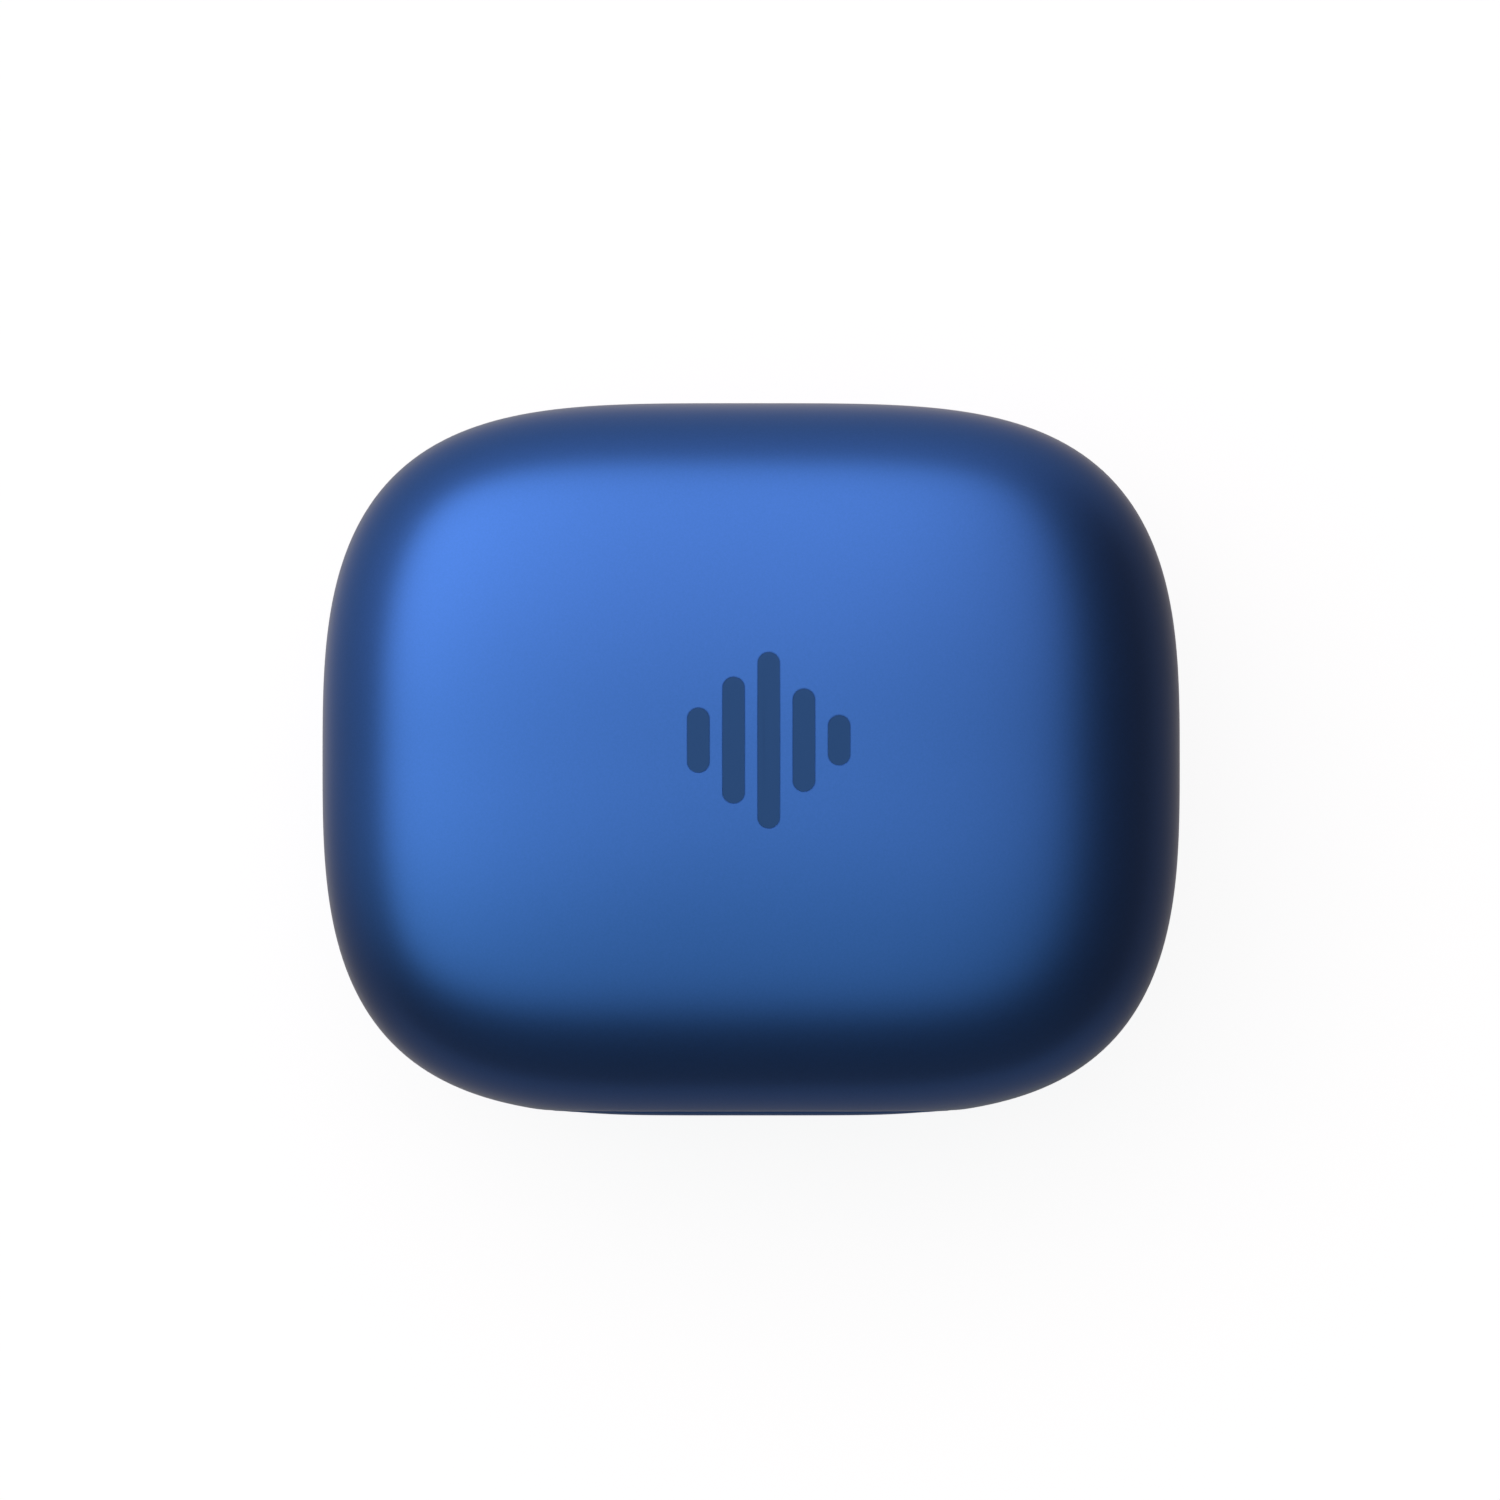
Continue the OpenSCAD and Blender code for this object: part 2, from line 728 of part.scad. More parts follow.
module pairing_button() {
    color("royalblue")
        intersection() {
            translate([button_x, 0, usb_z]) {
                prism_y(button_flange_y + 0.1, half_d) circle(button_r);
                block_at([-button_flange.x / 2, button_flange.x / 2],
                         [button_flange_y, button_flange_y + button_flange.y],
                         [-button_flange.z / 2, button_flange.z / 2]);
            }
            pebble();
        }
}

module switch_plunger() {
    color("ivory")
        translate([button_x, 0, usb_z]) prism_y(switch_y - 1.4, button_flange_y) circle(0.7);
}

// ---------- lid ----------

module mark_bars(z0, z1) {
    middle = (len(bar_heights) - 1) / 2;
    translate(emblem_at)
        prism_z(z0, z1)
            for (i = [0 : len(bar_heights) - 1])
                translate([(i - middle) * bar_pitch, 0]) rotate(90) stadium(bar_heights[i], bar_w);
}

module lid_shell() {
    color("royalblue")
        difference() {
            pebble();
            hollow();
            difference() {
                translate([-big / 2, -big / 2, -big / 2]) cube([big, big, big]);
                above_seam(seam_gap / 2);
            }
            thumb_recess();
            mark_bars(seam_z + lid_h - emblem_depth, big);
        }
}

module lid_emblem() {
    color("midnightblue")
        intersection() {
            mark_bars(seam_z + lid_h - emblem_depth, seam_z + lid_h + 1);
            translate([0, 0, -emblem_sunk]) pebble();
        }
}

module crown_lobes(t) {
    translate([bud_x, bud_y, crown_bud_z]) sphere(crown_bud_r + t);
    translate([tip_x, tip_y, crown_tip_z]) sphere(crown_tip_r + t);
}

module lid_liner() {
    color("midnightblue")
        difference() {
            union() {
                plan_slab(half_w - wall - fit, half_d - wall - fit, liner_under, liner_top);
                intersection() {
                    both_sides() crown_lobes(crown_t);
                    plan_slab(half_w - 3, half_d - 3, liner_under + 0.1, seam_z + lid_h - 2);
                }
                both_sides()
                    translate([arm_screw_x, arm_screw_y, liner_under]) cylinder(r = 1.2, h = liner_t);
            }
            both_sides() {
                crown_lobes(0);
                translate([arm_screw_x, arm_screw_y, liner_under + 0.4]) cylinder(r = 0.5, h = big);
            }
            block_at([-hinge_slot.x / 2, hinge_slot.x / 2], [hinge_slot.y, pivot_y - 3.8],
                     [0, liner_top + 0.01]);
        }
}

module lid_magnets() color("silver") latch_pair(liner_top);

module sensor_magnet() {
    color("silver") block_at([-1.6, 1.6], [latch_y - 0.9, latch_y + 0.9], [liner_top, liner_top + 1.5]);
}

// Soft pads under the liner's front edge that quiet the lid as it shuts.
module lid_bumpers() {
    slack = 0.06;
    color("black")
        both_sides()
            translate([16.5, -17.9, deck_top + slack]) cylinder(r = 1.1, h = liner_under - deck_top - slack);
}

base_shell();
cradle_tray();
tray_screws();
light_pipe();
led_board();
status_leds();
front_flex();
charging_coil();
ferrite_sheet();
battery_pad();
battery_cell();
battery_leads();
battery_plug();
main_board();
board_chips();
shield_can();
board_screws();
usb_receptacle();
usb_tongue();
usb_contacts();
usb_trim();
button_switch();
contact_block(-1);  // contact_block_left
contact_block(1);  // contact_block_right
contact_flexes();
bud_magnets();
latch_magnets();
lid_sensor();
hinge_bracket();
bracket_screws();
hinge_pin();
hinge_spring();
pairing_button();
switch_plunger();
contact_pin(-bud_x - contact_pitch / 2);  // contact_pin_left_outer
contact_pin(-bud_x + contact_pitch / 2);  // contact_pin_left_inner
contact_pin(bud_x + contact_pitch / 2);  // contact_pin_right_outer
contact_pin(bud_x - contact_pitch / 2);  // contact_pin_right_inner
contact_spring(-bud_x - contact_pitch / 2);  // contact_spring_left_outer
contact_spring(-bud_x + contact_pitch / 2);  // contact_spring_left_inner
contact_spring(bud_x + contact_pitch / 2);  // contact_spring_right_outer
contact_spring(bud_x - contact_pitch / 2);  // contact_spring_right_inner
lid_shell();
lid_liner();
lid_emblem();
hinge_arm();
arm_screws();
lid_magnets();
sensor_magnet();
lid_bumpers();
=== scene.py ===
"""Looks of a charging case for a pair of in-ear earbuds.

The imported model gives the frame: every piece here lies where its CAD node lies, in metres, and rides
on that node's body. The shells, mark, port surround and button are modelled again as smooth pieces. The
cradle and liner are rounded copies of their CAD nodes, and the small parts are bevelled copies.
"""

from __future__ import annotations

import json
import logging
import math
from collections.abc import Callable, Sequence
from dataclasses import dataclass, field
from enum import Enum

import bpy
import numpy as np
from bpy.types import Material, Node, NodeSocket, NodeTree, Object
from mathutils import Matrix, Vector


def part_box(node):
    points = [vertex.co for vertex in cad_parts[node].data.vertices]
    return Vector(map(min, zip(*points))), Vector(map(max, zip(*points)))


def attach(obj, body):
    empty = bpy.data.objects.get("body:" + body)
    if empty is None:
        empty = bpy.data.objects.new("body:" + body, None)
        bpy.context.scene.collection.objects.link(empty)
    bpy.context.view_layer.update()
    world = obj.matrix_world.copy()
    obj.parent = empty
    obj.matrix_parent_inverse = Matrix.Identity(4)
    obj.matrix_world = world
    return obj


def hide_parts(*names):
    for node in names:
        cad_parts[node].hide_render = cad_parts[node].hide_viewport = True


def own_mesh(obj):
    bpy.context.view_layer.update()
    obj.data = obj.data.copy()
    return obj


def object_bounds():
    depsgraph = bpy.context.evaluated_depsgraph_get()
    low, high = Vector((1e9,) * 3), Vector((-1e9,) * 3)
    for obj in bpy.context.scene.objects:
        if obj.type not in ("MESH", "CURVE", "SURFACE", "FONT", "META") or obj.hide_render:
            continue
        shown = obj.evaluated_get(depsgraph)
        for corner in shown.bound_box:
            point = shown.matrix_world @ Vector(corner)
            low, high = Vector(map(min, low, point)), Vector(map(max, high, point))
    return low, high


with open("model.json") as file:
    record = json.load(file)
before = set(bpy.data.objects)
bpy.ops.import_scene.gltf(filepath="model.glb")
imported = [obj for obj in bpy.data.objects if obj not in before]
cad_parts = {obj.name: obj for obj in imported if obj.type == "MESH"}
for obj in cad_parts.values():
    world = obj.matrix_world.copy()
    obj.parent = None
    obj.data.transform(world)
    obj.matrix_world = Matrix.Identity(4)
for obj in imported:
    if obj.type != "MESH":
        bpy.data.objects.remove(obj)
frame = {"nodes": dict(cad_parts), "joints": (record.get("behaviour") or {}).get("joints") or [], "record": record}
CAD_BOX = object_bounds()

MM = 0.001
TAU = 2 * math.pi
QUARTER_TURN = math.pi / 2
ALONG_Y = (QUARTER_TURN, 0, 0)
# Steps of each search by halving.
HALVINGS = 50
# How far along an axis a face's normal points when the face counts as facing that way.
FACING = 0.9
# Weld distances in metres: for the skins wrapped here, and for copies of CAD meshes.
SEAM_WELD = 1e-8
CAD_WELD = 1e-7
# Vertices this near to the middle of a prism stay there, in metres.
MIDDLE_REACH = 1e-9
Point = tuple[float, float, float]
Colour = tuple[float, float, float]
log = logging.getLogger("charging_case")


# ------- helpers


def power(values: np.ndarray | float, exponent: float) -> np.ndarray | float:
    """The size of each value to an exponent, whatever its sign."""
    return np.abs(values) ** exponent


def smooth_max(values: np.ndarray, floor: np.ndarray | float, blend: float) -> np.ndarray:
    """The larger of two fields, with a rounded corner where they cross.

    Args:
        values: The first field.
        floor: The second field.
        blend: The width over which the corner is rounded.

    Returns:
        The blended field.
    """
    share = np.clip(0.5 + 0.5 * (values - floor) / blend, 0, 1)
    return floor + (values - floor) * share + blend * share * (1 - share)


def unit(vectors: np.ndarray) -> np.ndarray:
    """Each row of vectors scaled to length 1."""
    return vectors / np.linalg.norm(vectors, axis=-1, keepdims=True)


def deselect_all() -> None:
    """Leaves nothing selected, so that the next operator acts only on what it adds or is given."""
    if bpy.context.object and bpy.context.object.mode != "OBJECT":
        bpy.ops.object.mode_set(mode="OBJECT")
    bpy.ops.object.select_all(action="DESELECT")


def choose(piece: Object) -> None:
    """Makes a piece the only one selected, and the active one."""
    deselect_all()
    piece.select_set(True)
    bpy.context.view_layer.objects.active = piece


def added(name: str) -> Object:
    """Names the object that an operator has just added, and its mesh.

    Args:
        name: The piece's name.

    Returns:
        The object.
    """
    piece = bpy.context.object
    piece.name = name
    piece.data.name = name
    return piece


def settle(piece: Object) -> Object:
    """Moves a piece's place, turn and size into its mesh, so that its object sits at the origin."""
    choose(piece)
    bpy.ops.object.transform_apply(location=True, rotation=True, scale=True)
    return piece


def apply_modifier(piece: Object, kind: str, **settings: object) -> None:
    """Adds a modifier and applies it.

    Args:
        piece: The mesh object.
        kind: The modifier's type.
        **settings: Its properties.
    """
    choose(piece)
    modifier = piece.modifiers.new(kind.title(), kind)
    for key, value in settings.items():
        setattr(modifier, key, value)
    bpy.ops.object.modifier_apply(modifier=modifier.name)


def edit_all(piece: Object, *steps: Callable[[], object]) -> None:
    """Runs edit-mode operators on the whole of a piece's mesh."""
    choose(piece)
    bpy.ops.object.mode_set(mode="EDIT")
    bpy.ops.mesh.select_all(action="SELECT")
    for step in steps:
        step()
    bpy.ops.object.mode_set(mode="OBJECT")


def coordinates(piece: Object) -> np.ndarray:
    """The vertices of a piece, one row each, in metres."""
    flat = np.empty(len(piece.data.vertices) * 3)
    piece.data.vertices.foreach_get("co", flat)
    return flat.reshape(-1, 3)


def move_vertices(piece: Object, places: np.ndarray) -> None:
    """Puts a piece's vertices at new places."""
    piece.data.vertices.foreach_set("co", places.ravel())
    piece.data.update()


def smooth(piece: Object, angle: float = 35) -> Object:
    """Shades a piece smooth, apart from edges sharper than an angle in degrees."""
    choose(piece)
    bpy.ops.object.shade_smooth_by_angle(angle=math.radians(angle))
    return piece


def bevel(piece: Object, width: float, segments: int, angle: float) -> None:
    """Rounds a piece's sharp edges.

    Args:
        piece: The mesh object.
        width: Width of the rounding in millimetres.
        segments: How many faces go round each edge.
        angle: Only edges sharper than this are rounded, in degrees.
    """
    apply_modifier(piece, "BEVEL", width=width * MM, segments=segments, limit_method="ANGLE",
                   angle_limit=math.radians(angle))


def cut(piece: Object, tool: Object) -> None:
    """Takes a tool's solid out of a piece and deletes the tool."""
    apply_modifier(piece, "BOOLEAN", operation="DIFFERENCE", solver="EXACT", object=tool)
    bpy.data.objects.remove(tool, do_unlink=True)


def joined(pieces: Sequence[Object]) -> Object:
    """Joins pieces into the first of them."""
    deselect_all()
    for piece in pieces:
        piece.select_set(True)
    bpy.context.view_layer.objects.active = pieces[0]
    bpy.ops.object.join()
    return pieces[0]


def inset_ends(piece: Object, axis: int, widths: Sequence[float], each: bool) -> None:
    """Adds rings of faces inside the faces at one end of a piece, so that the end can be shaped.

    Args:
        piece: The piece.
        axis: The axis that the end faces along, 0 to 2.
        widths: Width of each ring in millimetres, from the outside.
        each: Whether every face gets rings of its own.
    """
    choose(piece)
    bpy.ops.object.mode_set(mode="EDIT")
    bpy.ops.mesh.select_all(action="DESELECT")
    bpy.ops.object.mode_set(mode="OBJECT")
    for face in piece.data.polygons:
        face.select = face.normal[axis] > FACING
    bpy.ops.object.mode_set(mode="EDIT")
    for width in widths:
        bpy.ops.mesh.inset(thickness=width * MM, use_individual=each)
    bpy.ops.object.mode_set(mode="OBJECT")


def wrapped_skin(name: str, rings: np.ndarray) -> Object:
    """Wraps a grid round a stack of closed rings and closes both of its ends.

    Args:
        name: The piece's name.
        rings: Points of shape (rings, points in a ring, 3), in millimetres.

    Returns:
        The closed skin, with its faces outwards.
    """
    count, around = rings.shape[:2]
    deselect_all()
    bpy.ops.mesh.primitive_grid_add(x_subdivisions=around, y_subdivisions=count - 1, size=1)
    piece = added(name)
    closed = np.concatenate([rings, rings[:, :1]], axis=1)
    move_vertices(piece, closed.reshape(-1, 3) * MM)
    mesh = bpy.ops.mesh
    edit_all(
        piece,
        lambda: mesh.remove_doubles(threshold=SEAM_WELD),
        lambda: mesh.select_all(action="DESELECT"),
        lambda: mesh.select_non_manifold(),
        lambda: mesh.fill_holes(sides=0),
        lambda: mesh.select_all(action="SELECT"),
        lambda: mesh.normals_make_consistent(inside=False),
    )
    return settle(piece)


# ------- the case's form


@dataclass(frozen=True)
class Pebble:
    """A rounded form whose plan and side profile are both superellipses, in millimetres."""

    half_w: float
    half_d: float
    seam_z: float
    rise: float
    depth: float
    plan_px: float = 3.8
    plan_py: float = 3.05
    side_p: float = 2.9

    def inner(self, wall: float) -> Pebble:
        """The form a wall's thickness further in."""
        half_w, half_d = self.half_w - wall, self.half_d - wall
        return Pebble(half_w, half_d, self.seam_z, self.rise - wall, self.depth - wall)

    def reach(self, theta: np.ndarray) -> np.ndarray:
        """How far the widest outline lies from the middle in each direction."""
        low, high = np.zeros_like(theta), np.full_like(theta, 2 * self.half_w)
        for _ in range(HALVINGS):
            middle = (low + high) / 2
            inside = (
                power(middle * np.cos(theta) / self.half_w, self.plan_px)
                + power(middle * np.sin(theta) / self.half_d, self.plan_py)
            ) < 1
            low, high = np.where(inside, middle, low), np.where(inside, high, middle)
        return (low + high) / 2

    def at(self, theta: np.ndarray, phi: np.ndarray | float) -> np.ndarray:
        """Points of the surface.

        Args:
            theta: Direction in plan, counted from +X towards +Y.
            phi: Height angle, above the seam if positive.

        Returns:
            One row per point.
        """
        phi = np.broadcast_to(phi, theta.shape)
        powers = power(np.cos(phi), self.side_p) + power(np.sin(phi), self.side_p)
        stretch = powers ** (-1 / self.side_p)
        scale = stretch * np.cos(phi)
        height = stretch * np.sin(phi) * np.where(phi > 0, self.rise, self.depth)
        radius = self.reach(theta) * scale
        return np.stack([radius * np.cos(theta), radius * np.sin(theta), self.seam_z + height], axis=-1)

    def gauge(self, x: np.ndarray, y: np.ndarray) -> np.ndarray:
        """Scale of the outline that passes through each point in plan."""
        radius = np.hypot(x, y)
        return radius / self.reach(np.arctan2(y, x))

    def top_at(self, x: np.ndarray, y: np.ndarray) -> np.ndarray:
        """Height of the upper surface over each point in plan."""
        inside = np.clip(1 - power(self.gauge(x, y), self.side_p), 0, 1)
        return self.seam_z + self.rise * inside ** (1 / self.side_p)

    def rear_at(self, x: np.ndarray, z: np.ndarray) -> np.ndarray:
        """How far back the surface lies at each point of the rear face, below the seam."""
        drop = np.clip((self.seam_z - z) / self.depth, 0, 1)
        scale = (1 - power(drop, self.side_p)) ** (1 / self.side_p)
        across = np.clip(1 - power(x / (self.half_w * scale), self.plan_px), 0, 1)
        return self.half_d * scale * across ** (1 / self.plan_py)


@dataclass(frozen=True)
class Seam:
    """The parting surface: level, and rolled down over the hinge's pivot at the rear."""

    height: float
    pivot_y: float
    pivot_z: float
    steepest: float = 0.999
    search: float = 0.5

    def shifted(self, shift: float) -> Seam:
        """The same surface a little higher or lower, round the same pivot."""
        return Seam(self.height + shift, self.pivot_y, self.pivot_z)

    def at(self, y: np.ndarray) -> np.ndarray:
        """Height of the surface at each distance towards the rear."""
        radius = self.height - self.pivot_z
        behind = np.clip(y - self.pivot_y, 0, radius * self.steepest)
        return self.pivot_z + np.sqrt(radius**2 - behind**2)

    def meets(self, surface: Callable[[np.ndarray], np.ndarray], like: np.ndarray) -> np.ndarray:
        """Finds by halving where a surface crosses the seam.

        Args:
            surface: Function from height angles to points.
            like: An array with one value per direction in plan.

        Returns:
            The height angle of the crossing in each direction.
        """
        low, high = np.full_like(like, -self.search), np.full_like(like, self.search)
        for _ in range(HALVINGS):
            middle = (low + high) / 2
            points = surface(middle)
            below = points[:, 2] < self.at(points[:, 1])
            low, high = np.where(below, middle, low), np.where(below, high, middle)
        return (low + high) / 2


@dataclass(frozen=True)
class ThumbRecess:
    """The shallow recess for a thumb in the front: upright above the seam, slanted below."""

    foremost: float
    lid_depth: float = 0.54
    lid_lean: float = 0.02
    base_depth: float = 0.66
    base_lean: float = 1.0
    blend: float = 0.08

    def press(self, points: np.ndarray, form: Pebble) -> np.ndarray:
        """Pushes the points of the front face back to the recess.

        Args:
            points: Rows of surface points.
            form: The case's outer form.

        Returns:
            The points, moved.
        """
        above = points[:, 2] - form.seam_z
        lid, base = self.lid_depth + self.lid_lean * above, self.base_depth + self.base_lean * above
        plane = np.maximum(-form.half_d + np.where(above > 0, lid, base), self.foremost)
        moved = points.copy()
        front = smooth_max(points[:, 1], plane, self.blend)
        moved[:, 1] = np.where(points[:, 1] < -form.half_d / 2, front, points[:, 1])
        return moved


class Side(Enum):
    """Which way a shell's closed end lies from the seam."""

    LID = 1
    BASE = -1


@dataclass
class ShellBuilder:
    """Builds one half of the outer case as a closed, even skin with rounded rims."""

    side: Side
    form: Pebble
    seam: Seam
    wall: float
    recess: ThumbRecess
    foot_z: float = 0.0
    floor_z: float = 1.6
    lip: float = 0.28
    inner_lip: float = 0.18
    around: int = 320
    outer_rings: int = 60
    inner_rings: int = 26
    lip_rings: int = 6
    cap_scale: float = 0.05
    ring_gap: float = 1.4
    nudge: float = 0.01
    face_shares: tuple[float, float] = (0.3, 0.7)
    first_turn: float = 1e-5

    def surface(self, form: Pebble, recessed: bool) -> Callable[[np.ndarray], np.ndarray]:
        """A function from height angles to points, one per direction in plan."""
        theta = np.arange(self.around) / self.around * TAU + self.first_turn

        def points(phi: np.ndarray) -> np.ndarray:
            """Points at the given height angles."""
            found = form.at(theta, phi)
            if recessed:
                found = self.recess.press(found, form)
            return found

        return points

    def stack(
        self, surface: Callable, start: np.ndarray, count: int, flat_z: float | None
    ) -> list[np.ndarray]:
        """Rings from the rim to the closed end, the last of them small.

        Args:
            surface: Function from height angles to points.
            start: Height angle of the first ring in each direction.
            count: How many rings to make.
            flat_z: Height of the flat that closes the end, or None for a crown.

        Returns:
            The rings, first the one at the rim.
        """
        sign = self.side.value
        end = sign * (QUARTER_TURN - self.cap_scale)
        rings = []
        for share in np.linspace(0, 1, count):
            ring = surface(start + (end - start) * share)
            if flat_z is not None:
                ring[:, 2] = np.maximum(ring[:, 2], flat_z)
            rings.append(ring)
        return rings

    def rim(
        self, edge: np.ndarray, along: np.ndarray, across: np.ndarray, radius: float
    ) -> list[np.ndarray]:
        """Rings of the rounded corner between a wall and the seam face, from the wall.

        Args:
            edge: The sharp corner in each direction in plan.
            along: Directions up the wall, away from the corner.
            across: Directions over the seam face, away from the corner.
            radius: Radius of the corner.

        Returns:
            The rings.
        """
        angles = np.linspace(0, QUARTER_TURN, self.lip_rings)
        return [edge + radius * ((1 - math.sin(a)) * along + (1 - math.cos(a)) * across) for a in angles]

    def build(self, name: str) -> Object:
        """Makes the shell.

        Args:
            name: The piece's name.

        Returns:
            The shell as a closed mesh.
        """
        sign = self.side.value
        outer = self.surface(self.form, True)
        inner = self.surface(self.form.inner(self.wall), False)
        like = np.zeros(self.around)
        outer_edge, inner_edge = self.seam.meets(outer, like), self.seam.meets(inner, like)
        corner, inside = outer(outer_edge), inner(inner_edge)
        rise_outer = outer(outer_edge + sign * self.nudge) - corner
        rise_inner = inner(inner_edge + sign * self.nudge) - inside
        across = unit(inside - corner)
        step_outer = sign * self.lip / np.linalg.norm(rise_outer, axis=1) * self.nudge
        step_inner = sign * self.inner_lip / np.linalg.norm(rise_inner, axis=1) * self.nudge
        foot, floor = (self.foot_z, self.floor_z) if self.side is Side.BASE else (None, None)
        crown = self.stack(outer, outer_edge + step_outer * self.ring_gap, self.outer_rings, foot)
        hollow = self.stack(inner, inner_edge + step_inner * self.ring_gap, self.inner_rings, floor)
        face = []
        for share in self.face_shares:
            ring = corner + (inside - corner) * share
            ring[:, 2] = self.seam.at(ring[:, 1])
            face.append(ring)
        rings = (
            crown[::-1]
            + self.rim(corner, unit(rise_outer), across, self.lip)
            + face
            + self.rim(inside, unit(rise_inner), -across, self.inner_lip)[::-1]
            + hollow
        )
        return wrapped_skin(name, np.array(rings))


def keep_normals(piece: Object, source: Object, reach: float = 2e-6) -> None:
    """Gives a cut piece the smooth normals of the uncut one wherever they share a surface.

    Args:
        piece: The piece after its holes were cut.
        source: The same piece before, which is deleted.
        reach: How far apart two surfaces may be and still count as one, in metres.
    """
    apply_modifier(piece, "DATA_TRANSFER", object=source, use_loop_data=True,
                   data_types_loops={"CUSTOM_NORMAL"}, loop_mapping="POLYINTERP_NEAREST",
                   use_max_distance=True, max_distance=reach)
    bpy.data.objects.remove(source, do_unlink=True)


def duplicate(piece: Object, name: str) -> Object:
    """A copy of a piece with a mesh of its own."""
    copy = piece.copy()
    copy.data = piece.data.copy()
    copy.name = copy.data.name = name
    bpy.context.scene.collection.objects.link(copy)
    return copy


def stadium_prism(
    name: str, centre: Point, size: tuple[float, float], length: float, turn: Point, sides: int = 48
) -> Object:
    """A prism with round ends: a cylinder whose two halves are pulled apart.

    Args:
        name: The piece's name.
        centre: Its middle.
        size: Overall width and height of its section.
        length: Length of the prism.
        turn: Turn about each axis. Unturned, the width is along X and the length along Z.
        sides: Sides of the round ends together.

    Returns:
        The prism.
    """
    deselect_all()
    bpy.ops.mesh.primitive_cylinder_add(vertices=sides, radius=size[1] / 2 * MM, depth=length * MM)
    piece = added(name)
    places = coordinates(piece)
    pull = (size[0] - size[1]) / 2 * MM
    off_middle = np.abs(places[:, 0]) > MIDDLE_REACH
    places[:, 0] += np.where(off_middle, np.sign(places[:, 0]) * pull, 0)
    move_vertices(piece, places)
    piece.rotation_euler = turn
    piece.location = [v * MM for v in centre]
    return settle(piece)


def rod(name: str, centre: Point, radius: float, length: float, turn: Point, sides: int = 64) -> Object:
    """A cylinder.

    Args:
        name: The piece's name.
        centre: Its middle, in millimetres.
        radius: Its radius.
        length: Its length, along Z when unturned.
        turn: Turn about each axis, in radians.
        sides: Its number of sides.

    Returns:
        The cylinder.
    """
    return stadium_prism(name, centre, (2 * radius, 2 * radius), length, turn, sides)


# ------- finishes


@dataclass
class Graph:
    """Short ways to add and join nodes in one tree."""

    tree: NodeTree

    def add(self, kind: str, **settings: object) -> Node:
        """Adds a node and sets its properties."""
        node = self.tree.nodes.new(kind)
        for key, value in settings.items():
            setattr(node, key, value)
        return node

    def join(self, source: NodeSocket | float | Sequence[float], target: NodeSocket) -> None:
        """Links a socket to another, or sets the other to a plain value."""
        if isinstance(source, NodeSocket):
            self.tree.links.new(source, target)
        else:
            target.default_value = source

    def math(self, operation: str, *values: NodeSocket | float) -> NodeSocket:
        """One step of arithmetic."""
        node = self.add("ShaderNodeMath", operation=operation)
        for value, socket in zip(values, node.inputs):
            self.join(value, socket)
        return node.outputs[0]

    def ease(
        self,
        value: NodeSocket,
        low: NodeSocket | float,
        high: NodeSocket | float,
        start: float = 0,
        end: float = 1,
    ) -> NodeSocket:
        """A smooth ramp from start at low to end at high."""
        node = self.add("ShaderNodeMapRange", interpolation_type="SMOOTHSTEP")
        names = ("Value", "From Min", "From Max", "To Min", "To Max")
        for source, name in zip((value, low, high, start, end), names):
            self.join(source, node.inputs[name])
        return node.outputs["Result"]

    def mix(self, factor: NodeSocket | float, first: object, second: object) -> NodeSocket:
        """A blend of two colours."""
        node = self.add("ShaderNodeMix", data_type="RGBA")
        self.join(factor, node.inputs["Factor"])
        colours = [socket for socket in node.inputs if socket.type == "RGBA"]
        self.join(first, colours[0])
        self.join(second, colours[1])
        return next(socket for socket in node.outputs if socket.type == "RGBA")

    def mix_shader(self, factor: NodeSocket, first: NodeSocket, second: NodeSocket) -> NodeSocket:
        """A blend of two shaders."""
        node = self.add("ShaderNodeMixShader")
        for source, socket in zip((factor, first, second), node.inputs):
            self.join(source, socket)
        return node.outputs[0]

    def noise(self, vector: NodeSocket, scale: NodeSocket | float, detail: float) -> NodeSocket:
        """Even noise around 0.5."""
        node = self.add("ShaderNodeTexNoise")
        self.join(vector, node.inputs["Vector"])
        self.join(scale, node.inputs["Scale"])
        node.inputs["Detail"].default_value = detail
        return node.outputs["Fac"]


def opaque(colour: Colour) -> tuple[float, float, float, float]:
    """A colour with full alpha."""
    return (*colour, 1.0)


SPECKLE_DETAIL = 2.0
SPECKLE_GAIN = 1.6
PATCH_DETAIL = 3.0
PATCH_GAIN = 0.5


